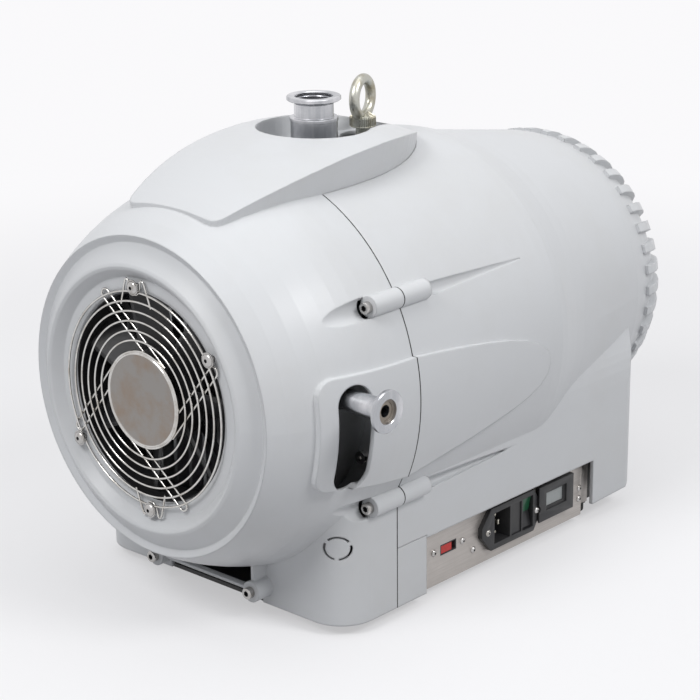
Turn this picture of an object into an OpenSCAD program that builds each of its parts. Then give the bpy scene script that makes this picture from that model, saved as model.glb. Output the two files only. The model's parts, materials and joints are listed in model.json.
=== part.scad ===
/* [Cowlings] */
// Height of the pump's axis above the floor
axis_z = 170; // [168:1:172]
// Radius of the barrel at its widest
barrel_r = 146; // [144:1:148]
// Thickness of the moulded cowlings
wall = 3; // [2.5:0.25:3.5]
// Where the front and the rear cowling meet, measured along the axis
seam_y = -117; // [-119:1:-115]
// Gap between neighbouring covers
seam_gap = 0.4; // [0.3:0.1:0.6]
// Where the front cowling starts to draw in
nose_start_y = -131; // [-133:1:-129]
// Foremost edge of the nose round the bezel groove
nose_end_y = -235; // [-236:1:-233]
// Width of the nose's edge beyond that groove
nose_land = 5.1; // [4.5:0.3:6]
// Rearmost face of the rear cowling
rear_end_y = 243; // [240:1:250]
// How far the skirt's sides stand inside the barrel's
skirt_in = 18; // [16:1:20]
// Front wall of the skirt
skirt_front_y = -173.5; // [-175:0.5:-172]
// Rear wall of the skirt
skirt_rear_y = 176; // [170:1:182]
// Radius of the skirt's front corners
skirt_corner_r = 28; // [24:1:32]
// Ribs round the rear grille
rib_count = 42; // [36:1:44]

/* [Roof hood] */
// How far the hood's crown stands above the barrel
hood_rise = 22; // [20:1:24]
// Foremost edge of the hood
hood_front_y = -207; // [-210:1:-204]
// Rear tip of the hood
hood_rear_y = 34; // [30:1:38]
// Half width of the hood half way up its sides
hood_half_w = 62.5; // [60:0.5:65]
// Radius of the well round the inlet
well_r = 43; // [38:1:46]
// Depth of that well below the hood's crown
well_depth = 32; // [30:0.5:33]

/* [Side pods] */
// How far each side pod stands off the barrel
pod_proud = 4; // [3:0.5:5]
// Height of the slot that the exhaust port comes out of
slot_h = 78; // [70:1:82]
// Width of that slot
slot_w = 28; // [24:1:30]

/* [Ports] */
// Outer diameter of the inlet flange
inlet_flange_d = 40; // [38:1:42]
// Bore of the inlet port
inlet_bore_d = 26; // [24:1:27]
// Distance of the inlet's axis from the middle of the pump
inlet_y = -60.8; // [-62:0.2:-60]
// How far the inlet flange's top face stands above the hood's crown
inlet_stand = 19; // [16:1:22]
// Outer diameter of the exhaust flange
exhaust_flange_d = 30; // [28:1:32]
// Bore of the exhaust port's mouth
exhaust_bore_d = 17; // [16:0.5:17.5]
// How far the exhaust flange's face stands off the side pod
exhaust_stand = 22.5; // [20:0.5:25]
// Place of the exhaust port along the pump
exhaust_y = -176.5; // [-178:0.5:-175]
// Height of the exhaust port above the pump's axis
exhaust_up = 14.5; // [13:0.5:17]

/* [Fan] */
// Radius of the fan opening
fan_open_r = 75.5; // [74:0.5:77]
// Depth of the fan's frame
fan_depth = 25; // [22:1:27]
// Blades on the fan
blade_count = 7; // [5:1:9]
// Wire rings on the fan guard
ring_count = 6; // [4:1:6]
// Spacing of the guard's rings
ring_pitch = 7; // [6:0.5:7.2]
// Radius of the disc in the middle of the guard
disc_r = 35.8; // [33:0.4:36]
// Diameter of the guard's wire
wire_d = 2.2; // [1.8:0.2:2.4]

/* [Scroll set] */
// Pitch of the scroll wraps
scroll_pitch = 21; // [20:0.5:21]
// Thickness of a scroll wrap
wrap_t = 4.5; // [4:0.25:4.5]
// Height of a scroll wrap
wrap_h = 34; // [30:1:34]
// Side clearance between the wraps
wrap_gap = 0.45; // [0.4:0.05:0.6]
// Face of the fixed scroll that its wrap stands on
scroll_floor_y = -160; // [-161:1:-160]

/* [Shaft and motor] */
// Radius of the crankshaft
shaft_r = 12.5; // [11:0.5:13]
// Radius of the crank pin
pin_r = 10; // [9:0.5:10.5]
// Running clearance of a shaft in its bearing
running_gap = 0.05; // [0.03:0.01:0.08]
// Outer radius of the motor housing
motor_r = 82; // [78:1:86]
// Rear end of the motor housing
motor_end_y = 165; // [155:1:170]

/* [Control panel] */
// How far the steel control panel lies inside the skirt's side
panel_sink = 6.5; // [6:0.5:7.5]
// Height of the panel's opening above the floor
panel_top_z = 52; // [51:1:54]
// Front end of the panel's opening
panel_front_y = -84.4; // [-86:0.4:-83]
// Rear end of the panel's opening
panel_rear_y = 120; // [118:1:122]
// Travel of the fuse drawer
drawer_travel = 18; // [12:1:20]

/* [Base] */
// Height of the rubber feet
foot_h = 6; // [5.5:0.5:6.5]
// Radius of a rubber foot
foot_r = 14; // [12:1:16]
// Thickness of the base frame's plate
base_t = 3; // [2.5:0.5:3.5]

/* [Hidden] */
fine = 96;
plain = 48;
over = 1;
end_gap = 0.3;
fit_gap = 0.3;

// Places that follow the barrel
skirt_x = barrel_r - skirt_in;
hood_crown = barrel_r + hood_rise;
inlet_top_z = axis_z + hood_crown + inlet_stand;
exhaust_z = axis_z + exhaust_up;
exhaust_face_x = barrel_r + pod_proud + exhaust_stand;
panel_x = skirt_x - panel_sink;
panel_t = 1.2;
panel_in_x = panel_x - panel_t;

function bez(a, b, c, d, n) = [for (i = [0:n]) let (t = i / n, u = 1 - t)
    u * u * u * a + 3 * u * u * t * b + 3 * u * t * t * c + t * t * t * d];
// The same curve without its first point, to go on from another curve
function bez_on(a, b, c, d, n) = [for (i = [1:n]) bez(a, b, c, d, n)[i]];
function polar(r, a) = [r * cos(a), r * sin(a)];

// Stands a shape that was drawn along Z along the pump's axis instead
module along_y() {
    translate([0, 0, axis_z]) rotate([-90, 0, 0]) children();
}
// A body of revolution about the pump's axis, drawn as [radius, place along the axis]
module turned(points) {
    along_y() rotate_extrude($fn = fine) polygon(points);
}
// A round bar along the axis direction, at a height z above the floor
module bar_y(r, y0, y1, x = 0, z = axis_z, fn = plain) {
    translate([x, y0, z]) rotate([-90, 0, 0]) cylinder(r = r, h = y1 - y0, $fn = fn);
}
module tube_y(r_out, r_in, y0, y1, x = 0, z = axis_z, fn = fine) {
    difference() {
        bar_y(r_out, y0, y1, x, z, fn);
        bar_y(r_in, y0 - over, y1 + over, x, z, fn);
    }
}
module box(x0, x1, y0, y1, z0, z1) {
    translate([x0, y0, z0]) cube([x1 - x0, y1 - y0, z1 - z0]);
}
module both_sides() {
    children();
    mirror([1, 0, 0]) children();
}

// Bezel round the fan: plate, recess, crest and groove
plate_y = -235.5;
recess_r = 87.3;
crest_y = -243;
crest_r = 95.7;
crest_half = 2.2;
crest_drop = 1;
groove_r = 111;
groove_y = -232;
lip_depth = 7.5;
lip_flare = 4;
lip_land = 1.2;

// The nose is one long arc from the barrel to the bezel groove
nose_run = nose_start_y - nose_end_y;
nose_drop = barrel_r - groove_r - nose_land;
nose_arc_r = (pow(nose_run, 2) + pow(nose_drop, 2)) / 2 / nose_drop;
function nose_r(y, g) = barrel_r - nose_arc_r + sqrt(pow(nose_arc_r - g, 2) - pow(y - nose_start_y, 2));
nose_steps = 8;
function nose_points(g, end_y) = [for (i = [nose_steps:-1:0])
    let (y = nose_start_y + (end_y - nose_start_y) * i / nose_steps) [nose_r(y, g), y]];

// Rear dome: shoulder, waist and tail, drawn in from the barrel
dome_start_y = 42;
dome_bend_y = 62;
dome_in_y = 68;
dome_in_drop = 6.5;
waist_y = 95;
waist_drop = 11.6;
tail_y = 188;
tail_drop = 27.2;
tail_out_y = 212;
tail_out_drop = 32;
tail_in_y = 234;
tail_in_drop = 41;
end_drop = 54;
function dome_points(g) = concat(
    bez([barrel_r - g, dome_start_y], [barrel_r - g, dome_bend_y],
        [barrel_r - dome_in_drop - g, dome_in_y], [barrel_r - waist_drop - g, waist_y], 5),
    bez([barrel_r - tail_drop - g, tail_y], [barrel_r - tail_out_drop - g, tail_out_y],
        [barrel_r - tail_in_drop - g, tail_in_y - g], [barrel_r - end_drop - g, rear_end_y - g], 6));

// The whole barrel as one solid, g inside its outer face
module barrel_solid(g) {
    front = g == 0
        ? [[0, plate_y], [recess_r, plate_y], [crest_r - crest_half, crest_y + crest_drop],
            [crest_r, crest_y], [crest_r + crest_half, crest_y + crest_drop], [groove_r, groove_y]]
        : [[0, plate_y + g], [recess_r + g / 2, plate_y + g], [crest_r, crest_y + g],
            [groove_r - g / 2, groove_y + g]];
    turned(concat(front, nose_points(g, g == 0 ? nose_end_y : nose_end_y + g + over),
        dome_points(g), [[0, rear_end_y - g]]));
}

// Skirt: a box with rounded corners whose sides flare out of the dome
skirt_rear_corner_r = 12;
skirt_bottom_z = 8;
skirt_rear_bottom_z = 16;
skirt_chamfer = 10;
flare_low_z = 108;
flare_high_z = 158;
flare_mid_z = 138;
flare_in = 10;
module skirt_plan(g) {
    w = skirt_x - g;
    fr = skirt_corner_r - g;
    rr = skirt_rear_corner_r - g / 2;
    for (s = [-1, 1]) {
        translate([s * (w - fr), skirt_front_y + g + fr]) circle(r = fr, $fn = fine);
        translate([s * (w - rr), skirt_rear_y - g - rr]) circle(r = rr, $fn = plain);
    }
    polygon([[-w, skirt_front_y + g + fr], [-(w - fr), skirt_front_y + g],
        [w - fr, skirt_front_y + g], [w, skirt_front_y + g + fr],
        [w, skirt_rear_y - g - rr], [w - rr, skirt_rear_y - g],
        [rr - w, skirt_rear_y - g], [-w, skirt_rear_y - g - rr]]);
}
module skirt_section(g) {
    w = skirt_x - g;
    low = g == 0 ? 0 : -over;
    right = concat([[w, low]], bez([w, flare_low_z], [w, flare_mid_z],
        [w - flare_in, flare_mid_z], [w - flare_in, flare_high_z], 8));
    left = [for (i = [len(right) - 1:-1:0]) [-right[i][0], right[i][1]]];
    polygon(concat(right, left));
}
// Cuts the skirt's lower edge: level at the front, rising to the rear
module skirt_floor_cut() {
    rotate([90, 0, 90]) translate([0, 0, -2 * skirt_x]) linear_extrude(4 * skirt_x)
        polygon([[skirt_front_y - over, -over], [skirt_front_y - over, skirt_bottom_z],
            [panel_front_y, skirt_bottom_z], [panel_front_y, skirt_bottom_z + over],
            [skirt_rear_y - skirt_chamfer, skirt_rear_bottom_z],
            [skirt_rear_y + over, skirt_rear_bottom_z + skirt_chamfer], [skirt_rear_y + over, -over]]);
}
module skirt_solid(g) {
    intersection() {
        translate([0, 0, -over]) linear_extrude(axis_z + over) skirt_plan(g);
        translate([0, skirt_rear_y, 0]) rotate([90, 0, 0])
            linear_extrude(skirt_rear_y - skirt_front_y) skirt_section(g);
    }
}

// Roof hood: a plan outline leaning outwards under a doubly curved roof
hood_roof_r = 250;
hood_apex_y = -58;
hood_front_arc = 328;
hood_rear_arc = 200;
hood_foot = 31;
hood_low_z = axis_z + barrel_r - hood_foot;
hood_high_margin = 7;
hood_high_z = axis_z + hood_crown + hood_high_margin;
hood_lean = 0.27;
// Half of the plan's outline: shares of the half width, and of the length from the front edge to the rear tip
hood_shares = [[0.61, 0], [0.74, 0], [0.79, 0.016], [0.82, 0.047], [0.95, 0.173], [1, 0.291], [1, 0.386],
    [1, 0.528], [0.98, 0.67], [0.8, 0.796], [0.64, 0.905], [0.35, 1], [0, 1]];
function hood_side(w) = let (
    p = [for (s = hood_shares) [w * s[0], hood_front_y + (hood_rear_y - hood_front_y) * s[1]]])
    concat([[0, hood_front_y], p[0]], bez_on(p[0], p[1], p[2], p[3], 4), bez_on(p[3], p[4], p[5], p[6], 6),
        bez_on(p[6], p[7], p[8], p[9], 10), bez_on(p[9], p[10], p[11], p[12], 12));
module hood_plan(g) {
    side = hood_side(hood_half_w);
    mid = (hood_front_y + hood_rear_y) / 2;
    shrink_x = 1 - g / hood_half_w;
    shrink_y = 1 - g / (hood_rear_y - mid);
    both = concat(side, [for (i = [len(side) - 2:-1:1]) [-side[i][0], side[i][1]]]);
    polygon([for (p = both) [p[0] * shrink_x, mid + (p[1] - mid) * shrink_y]]);
}
module hood_walls(g) {
    spread = hood_lean * (hood_high_z - hood_low_z) / 2 / hood_half_w;
    translate([0, 0, hood_low_z])
        linear_extrude(hood_high_z - hood_low_z, scale = [(1 + spread) / (1 - spread), 1], slices = 1)
            scale([1 - spread, 1]) hood_plan(g);
}
function roof_r(y, g) = let (arc = y < hood_apex_y ? hood_front_arc : hood_rear_arc)
    hood_roof_r - arc + sqrt(pow(arc - g, 2) - pow(y - hood_apex_y, 2));
roof_steps = 16;
roof_margin = 4;
module hood_roof(g) {
    y0 = hood_front_y - roof_margin;
    y1 = hood_rear_y + roof_margin;
    points = [for (i = [0:roof_steps]) let (y = y0 + (y1 - y0) * i / roof_steps) [roof_r(y, g), y]];
    translate([0, 0, hood_crown - hood_roof_r])
        turned(concat([[0, y0]], points, [[0, y1]]));
}
module hood_solid(g) {
    intersection() {
        hood_walls(g);
        hood_roof(g);
    }
}
// The well round the inlet runs on over a shelf with a hole for the lifting eye
eye_y = -7.7;
eye_well_r = 23;
eye_hole_r = 17;
shelf_sink = 19.5;
shelf_z = axis_z + hood_crown - shelf_sink;
well_floor_z = axis_z + hood_crown - well_depth;
port_hole_r = 19.5;
well_step = 9;
half_turn = 180;
module well_plan(g) {
    wide = well_r + g;
    tight = eye_well_r + g;
    polygon(concat(
        [for (a = [-half_turn - well_turn:well_step:well_turn]) [wide * cos(a), inlet_y + wide * sin(a)]],
        [for (a = [well_turn:2 * well_step:half_turn - well_turn]) [tight * cos(a), eye_y + tight * sin(a)]]));
}
well_turn = asin((well_r - eye_well_r) / (eye_y - inlet_y));

// Side pods: raised panels that run back along the barrel as a tapering oval
pod_front_y = -204;
pod_front_up = 33;
pod_front_down = 49;
pod_corner = 13;
pod_corner_steps = 5;
pod_seam_up = 32;
pod_seam_down = 58;
pod_nose_y = 35;
pod_mid_y = -50;
pod_tail_proud = 2;
// The oval behind the seam: shares of its length, and of its height at the seam from the lower edge up
pod_shares = [[0, 1], [0.44, 0.933], [1, 0.844], [1, 0.544], [1, 0.244], [0.67, 0.222], [0, 0]];
module pod_outline(g) {
    p = [for (s = pod_shares) [seam_y + (pod_nose_y - seam_y) * s[0],
        axis_z - pod_seam_down + (pod_seam_up + pod_seam_down) * s[1]]];
    top_z = axis_z + pod_front_up;
    low_z = axis_z - pod_front_down;
    mid_y = (pod_front_y + pod_nose_y) / 2;
    mid_z = axis_z + (pod_seam_up - pod_seam_down) / 2;
    round_y = [for (i = [0:pod_corner_steps]) pod_front_y + pod_corner * (1 - cos(90 * i / pod_corner_steps))];
    round_z = [for (i = [0:pod_corner_steps]) pod_corner * (1 - sin(90 * i / pod_corner_steps))];
    all = concat([for (i = [0:pod_corner_steps]) [round_y[i], top_z - round_z[i]]],
        bez(p[0], p[1], p[2], p[3], 8), bez_on(p[3], p[4], p[5], p[6], 8),
        [for (i = [pod_corner_steps:-1:0]) [round_y[i], low_z + round_z[i]]]);
    shrink_y = 1 - g / (pod_nose_y - mid_y);
    shrink_z = 1 - 2 * g / (pod_seam_up + pod_seam_down);
    polygon([for (p = all) [mid_y + (p[0] - mid_y) * shrink_y, mid_z + (p[1] - mid_z) * shrink_z]]);
}
module pod_solid(g) {
    intersection() {
        rotate([90, 0, 90]) translate([0, 0, -2 * skirt_x]) linear_extrude(4 * skirt_x) pod_outline(g);
        turned(concat([[0, pod_front_y - over]], [for (p = nose_points(g - pod_proud, pod_front_y - over)) p],
            [[barrel_r + pod_proud - g, pod_mid_y], [barrel_r + pod_tail_proud - g, pod_nose_y + over],
            [0, pod_nose_y + over]]));
    }
}

// Screw bosses: one above and one below each pod, with scoops before and behind them
boss_r = 7.5;
boss_top_turn = 29.1;
boss_top_out = 0.5;
boss_low_turn = 30.4;
boss_low_out = 2.4;
boss_front_y = -146;
boss_rear_y = -88;
scoop_r = 8;
scoop_tail_y = 20;
scoop_tail_r = 0.6;
scoop_lift = 1;
scoop_tail_out = 5;
scoop_drop = 1.6;
boss_places = [polar(barrel_r + boss_top_out, boss_top_turn), polar(barrel_r + boss_low_out, -boss_low_turn)];
module boss_bars(r, y0, y1) {
    for (p = boss_places) bar_y(r, y0, y1, p[0], axis_z + p[1]);
}
module scoops(g) {
    both_sides() for (p = boss_places) {
        bar_y(scoop_r + g, crest_y, boss_front_y - g, p[0], axis_z + p[1]);
        lift = (barrel_r + scoop_lift) / norm(p);
        translate([p[0] * lift, boss_rear_y + g, axis_z + p[1] * lift - scoop_drop]) rotate([-90, 0, 0])
            cylinder(r1 = scoop_tail_out + g, r2 = scoop_tail_r + g, h = scoop_tail_y - boss_rear_y, $fn = plain);
    }
}

// Envelope of both cowlings together, g inside the outer face
module envelope(g) {
    difference() {
        union() {
            barrel_solid(g);
            skirt_solid(g);
            hood_solid(g);
            pod_solid(g);
        }
        scoops(g);
    }
}
module cowling_skin() {
    difference() {
        envelope(0);
        envelope(wall);
        skirt_floor_cut();
    }
}
step_z = 54;
hood_foot_r = barrel_r - wall / 2;
// Space that belongs to the front cowling, grown by a share of the seam's gap
module front_space(grow, foot_r) {
    box(-2 * skirt_x, 2 * skirt_x, crest_y - over, seam_y + grow, -over, inlet_top_z);
    box(-2 * skirt_x, 2 * skirt_x, crest_y - over, panel_front_y + grow, -over, step_z + grow);
    difference() {
        hood_solid(-seam_gap / 2 - grow);
        bar_y(foot_r, crest_y - over, rear_end_y, 0, axis_z, fine);
    }
}

cap_head_r = 4.3;
cap_head_h = 5;
cap_shank_r = 2.5;
cap_hole_r = 2.75;
cap_socket_r = 2;
cap_len = 40;
chin_x = 50.2;
chin_z = 21.7;
chin_front_y = -188;
chin_r = 8;
chin_len = 26;
chin_bar_h = 1.2;
chin_bar_inset = 3;
chin_bar_depth = 5;
chin_web = 3;
chin_web_inset = 2;
chin_gap = 0.7;
fan_front_y = plate_y + lip_depth;

guard_screw_r = 81;
guard_screw_angles = [93, 33, -87, -147];
guard_hole_r = 2.2;
// Draws its children, which stand at x = 0 and z = 0, at each of the fan's four screws
module guard_screw_places() {
    for (a = guard_screw_angles)
        translate([guard_screw_r * cos(a), 0, axis_z + guard_screw_r * sin(a)]) children();
}
// Knock-out on the right front corner: three slots round a disc that can be pushed out
knock_r = 9.1;
knock_w = 1.5;
knock_z = 67.5;
knock_turn = 53;
knock_stretch = 1.15;
knock_first = 35;
knock_arc = 100;
module knock_out() {
    corner = skirt_x - skirt_corner_r;
    out = polar(skirt_corner_r, -knock_turn);
    for (i = [0:2]) {
        a = knock_first + 120 * i;
        translate([corner + out[0], skirt_front_y + skirt_corner_r + out[1], knock_z])
            rotate([0, 0, -knock_turn]) rotate([90, 0, 90]) translate([0, 0, -3 * wall])
                linear_extrude(6 * wall) scale([knock_stretch, 1]) intersection() {
                    difference() {
                        circle(r = knock_r, $fn = plain);
                        circle(r = knock_r - knock_w, $fn = plain);
                    }
                    polygon([[0, 0], polar(2 * knock_r, a), polar(2 * knock_r, a + knock_arc / 2),
                        polar(2 * knock_r, a + knock_arc)]);
                }
    }
}
// The skirt's front is open between the two chin screws
module chin_opening() {
    half = chin_x - chin_web / 2 - chin_gap;
    difference() {
        box(-half, half, skirt_front_y - over, skirt_front_y + wall + over, -over, axis_z);
        barrel_solid(-fit_gap);
    }
}
module chin_webs() {
    difference() {
        both_sides() box(chin_x - chin_web / 2, chin_x + chin_web / 2, chin_front_y + chin_web_inset,
            skirt_front_y + wall / 2, chin_z, axis_z);
        barrel_solid(wall / 2);
    }
}

module front_cowling() {
    color("gainsboro") difference() {
        union() {
            difference() {
                cowling_skin();
                difference() {
                    box(-2 * skirt_x, 2 * skirt_x, seam_y - wall, rear_end_y + over, -over, inlet_top_z);
                    front_space(-seam_gap / 4, hood_foot_r + seam_gap);
                }
            }
            both_sides() {
                boss_bars(boss_r, boss_front_y, seam_y - seam_gap / 2);
                bar_y(chin_r, chin_front_y, chin_front_y + chin_len, chin_x, chin_z);
            }
            box(-chin_x, chin_x, chin_front_y + chin_bar_inset, chin_front_y + chin_bar_inset + chin_bar_depth,
                chin_z - chin_bar_h, chin_z + chin_bar_h);
            chin_webs();
            tube_y(fan_open_r + wall, fan_open_r, plate_y + wall / 2, fan_front_y);
            well_block();
        }
        well_cut();
        turned([[0, crest_y - over], [fan_open_r + lip_flare, crest_y - over],
            [fan_open_r + lip_flare, plate_y], [fan_open_r + lip_land, plate_y + lip_land],
            [fan_open_r, plate_y + lip_flare], [fan_open_r, fan_front_y + over], [0, fan_front_y + over]]);
        exhaust_slot();
        both_sides() {
            boss_bars(cap_hole_r, boss_front_y - over, seam_y);
            bar_y(cap_hole_r, chin_front_y - over, chin_front_y + chin_len + over, chin_x, chin_z);
        }
        chin_opening();
        guard_screw_places() bar_y(guard_hole_r, crest_y, fan_front_y + over, 0, 0);
        knock_out();
    }
}
module well_block() {
    intersection() {
        hood_solid(0);
        union() {
            hole_z(well_r + wall - end_gap, well_floor_z - wall, inlet_top_z, 0, inlet_y, fine);
            translate([0, 0, shelf_z - wall]) linear_extrude(hood_crown) well_plan(wall);
        }
    }
}
module well_cut() {
    translate([0, 0, shelf_z]) linear_extrude(hood_crown) well_plan(0);
    hole_z(well_r - end_gap, well_floor_z, inlet_top_z, 0, inlet_y, fine);
    hole_z(port_hole_r, well_floor_z - 2 * wall, inlet_top_z, 0, inlet_y, fine);
    hole_z(eye_hole_r, shelf_z - 2 * wall, inlet_top_z, 0, eye_y);
}
slot_down = 12.5;
slot_z = axis_z - slot_down;
module exhaust_slot() {
    r = slot_w / 2;
    for (s = [-1, 1]) translate([skirt_x / 2, exhaust_y, slot_z + s * (slot_h / 2 - r)]) rotate([0, 90, 0])
        cylinder(r = r, h = skirt_x, $fn = plain);
    box(skirt_x / 2, 3 * skirt_x / 2, exhaust_y - r, exhaust_y + r,
        slot_z - slot_h / 2 + r, slot_z + slot_h / 2 - r);
}

// Rear grille: long openings in the end face, and rounded ribs that wrap round the rim
rim_in = 5;
grille_hub_r = 40;
bar_w = 3;
rib_w = 7;
rib_taper = 1.3;
rib_proud = 4.5;
rib_start_y = 206;
rib_ramp = 4;
rib_sink = 3;
function grille_corner(r, a, side) = polar(r, a + side * asin(bar_w / 2 / r));
module grille_openings() {
    rim_r = barrel_r - end_drop - rim_in;
    step = 360 / rib_count;
    facing(rear_end_y + over) linear_extrude(wall + 2 * over) for (i = [0:rib_count - 1]) polygon([
        grille_corner(grille_hub_r, i * step, 1), grille_corner(rim_r, i * step, 1),
        grille_corner(rim_r, (i + 1) * step, -1), grille_corner(grille_hub_r, (i + 1) * step, -1)]);
}
module rim_ribs() {
    step = 360 / rib_count;
    big = barrel_r;
    inner = barrel_r - end_drop - rim_in / 2;
    teeth = [for (i = [0:rib_count - 1]) for (s = [-1, 1])
        for (r = s < 0 ? [inner, big] : [big, inner]) polar(r, i * step + s * asin((rib_w / 2 + (r > inner ? -rib_taper : rib_taper)) / r))];
    intersection() {
        facing(rear_end_y + rib_proud) linear_extrude(rear_end_y + rib_proud - rib_start_y) polygon(teeth);
        difference() {
            turned(concat([[0, rib_start_y - rib_ramp]],
                bez([barrel_r - tail_drop - rib_sink, rib_start_y - rib_ramp],
                    [barrel_r - tail_drop - over + rib_proud / 2, rib_start_y + over],
                    [barrel_r - tail_in_drop + 2 * rib_proud, tail_in_y + over],
                    [barrel_r - end_drop + over, rear_end_y + rib_proud / 2], 6),
                [[0, rear_end_y + rib_proud / 2]]));
            bar_y(inner, rib_start_y - 2 * rib_ramp, rear_end_y + rib_proud + over, 0, axis_z, fine);
            barrel_solid(wall / 2);
        }
    }
}
module rear_cowling() {
    color("gainsboro") difference() {
        union() {
            difference() {
                cowling_skin();
                front_space(seam_gap / 2, hood_foot_r);
                grille_openings();
            }
            both_sides() boss_bars(boss_r, seam_y + seam_gap / 2, boss_rear_y);
            rim_ribs();
        }
        both_sides() boss_bars(cap_shank_r + running_gap, seam_y, boss_rear_y - over);
        box(panel_x - 2 * wall, 2 * skirt_x, panel_front_y, panel_rear_y, -over, panel_top_z);
    }
}
// A socket-head screw along the axis, its head's face at y
module cap_screw_y(x, z, y, len) {
    difference() {
        union() {
            bar_y(cap_head_r, y, y + cap_head_h, x, z);
            bar_y(cap_shank_r, y + cap_head_h, y + cap_head_h + len, x, z);
        }
        translate([x, y - over, z]) rotate([-90, 0, 0]) cylinder(r = cap_socket_r, h = over + cap_head_h / 2, $fn = 6);
    }
}
module cowling_screws() {
    color("silver") both_sides() {
        for (p = boss_places) cap_screw_y(p[0], axis_z + p[1], boss_front_y - cap_head_h, cap_len);
        cap_screw_y(chin_x, chin_z, chin_front_y - cap_head_h, cap_len);
    }
}

// Draws its children facing the front: x to the right, y up and z towards the viewer
module facing(y) {
    translate([0, y, axis_z]) rotate([90, 0, 0]) children();
}
wire_fn = 16;
module torus(r, section_r, fn = fine) {
    rotate_extrude($fn = fn) translate([r, 0]) circle(r = section_r, $fn = wire_fn);
}
// A body of revolution about a vertical axis, drawn as [radius, height above the floor]
module turned_z(x, y, points, fn = fine) {
    translate([x, y, 0]) rotate_extrude($fn = fn) polygon(points);
}
module hole_x(r, x0, x1, y, z, fn = plain) {
    translate([x0, y, z]) rotate([0, 90, 0]) cylinder(r = r, h = x1 - x0, $fn = fn);
}
module hole_z(r, z0, z1, x, y, fn = plain) {
    translate([x, y, z0]) cylinder(r = r, h = z1 - z0, $fn = fn);
}

// Vacuum ports with their clamped flanges
housing_boss_r = 22;
flange_rim = 3;
flange_slope = 1.5;
neck_r = 14.5;
neck_len = 15.5;
neck_end_z = inlet_top_z - neck_len;
tube_r = 17.3;
port_foot_r = 21;
port_foot_h = 6;
seat_depth = 2.5;
module inlet_port() {
    bore = inlet_bore_d / 2;
    rim = inlet_flange_d / 2;
    color("silver") turned_z(0, inlet_y, [
        [bore, housing_boss_z], [port_foot_r, housing_boss_z], [port_foot_r, housing_boss_z + port_foot_h],
        [tube_r, housing_boss_z + port_foot_h], [tube_r, neck_end_z], [neck_r, neck_end_z],
        [neck_r, inlet_top_z - flange_rim - flange_slope], [rim, inlet_top_z - flange_rim],
        [rim, inlet_top_z], [bore, inlet_top_z]]);
}
exhaust_tube_r = 8;
exhaust_hole_r = 4;
module exhaust_port() {
    rim = exhaust_flange_d / 2;
    seat = exhaust_bore_d / 2;
    color("silver") translate([exhaust_root_x, exhaust_y, exhaust_z]) rotate([0, 90, 0])
        rotate_extrude($fn = fine) translate([0, -exhaust_root_x]) polygon([
            [exhaust_hole_r, exhaust_root_x], [exhaust_tube_r, exhaust_root_x],
            [exhaust_tube_r, exhaust_face_x - flange_rim - flange_slope], [rim, exhaust_face_x - flange_rim],
            [rim, exhaust_face_x], [seat, exhaust_face_x], [seat, exhaust_face_x - seat_depth],
            [exhaust_hole_r, exhaust_face_x - seat_depth]]);
}
eye_post_r = 7;
eye_post_sink = 26;
eye_post_z = axis_z + hood_crown - eye_post_sink;
eye_neck_len = 13.3;
eye_ring_up = 35;
eye_ring_z = eye_post_z + eye_ring_up;
eye_ring_r = 14;
eye_section_r = 4;
eye_turn = 16;
eye_shank_r = 4;
eye_shank_len = 20;
eye_neck_r = 5.3;
eye_collar_r = 10;
module lifting_eye() {
    collar_low = eye_post_z + eye_neck_len;
    collar_top = eye_ring_z - eye_ring_r + eye_section_r / 2;
    color("darkkhaki") {
        translate([0, eye_y, eye_ring_z]) rotate([0, 0, eye_turn]) rotate([0, 90, 0])
            torus(eye_ring_r, eye_section_r, plain);
        turned_z(0, eye_y, [[0, eye_post_z - eye_shank_len], [eye_shank_r, eye_post_z - eye_shank_len],
            [eye_shank_r, eye_post_z], [eye_neck_r, eye_post_z], [eye_neck_r, collar_low],
            [eye_collar_r, collar_low + over], [eye_collar_r, collar_top - 2 * over],
            [eye_neck_r, collar_top], [0, collar_top]], plain);
    }
}

// Fan guard: welded wire rings on four hairpin spokes that touch the disc like a pinwheel
spoke_y = plate_y - wire_d / 2;
ring_y = spoke_y - 0.9 * wire_d;
first_ring_r = disc_r + ring_pitch;
spoke_first_angle = 118;
spoke_half = 3.75;
spoke_tip_r = 82;
lug_half = 3.3;
module hairpin(x, half, y0, y1) {
    for (s = [-1, 1]) translate([x + s * half, y0, 0]) rotate([-90, 0, 0])
        cylinder(r = wire_d / 2, h = y1 - y0, $fn = wire_fn);
    intersection() {
        translate([x, y1, 0]) torus(half, wire_d / 2, plain);
        translate([x - 2 * half, y1, -wire_d]) cube([4 * half, 2 * half, 2 * wire_d]);
    }
}
module fan_guard() {
    foot = disc_r - spoke_half;
    reach = sqrt(pow(spoke_tip_r, 2) - pow(foot, 2));
    color("silver") {
        facing(ring_y) for (i = [0:ring_count - 1]) torus(first_ring_r + i * ring_pitch, wire_d / 2);
        facing(spoke_y) {
            for (i = [0:3]) rotate([0, 0, spoke_first_angle - 90 * i - atan(reach / foot)])
                hairpin(foot, spoke_half, 0, reach - spoke_half);
            for (a = [guard_screw_angles[0], guard_screw_angles[2]]) rotate([0, 0, a - 90])
                hairpin(0, lug_half, guard_screw_r - 1.5 * ring_pitch, guard_screw_r);
        }
    }
}
disc_t = 1.2;
disc_edge = 1.6;
module guard_disc() {
    front = ring_y - wire_d / 2;
    back = spoke_y - wire_d / 2;
    color("lightgray") turned([[0, front], [disc_r - disc_edge, front], [disc_r, front + disc_t / 2],
        [disc_r, back], [disc_r - disc_edge, back], [disc_r - disc_edge, front + disc_t], [0, front + disc_t]]);
}
guard_head_r = 5.5;
guard_head_h = 2.6;
guard_shank_r = 1.9;
guard_hex_r = 1.6;
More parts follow.
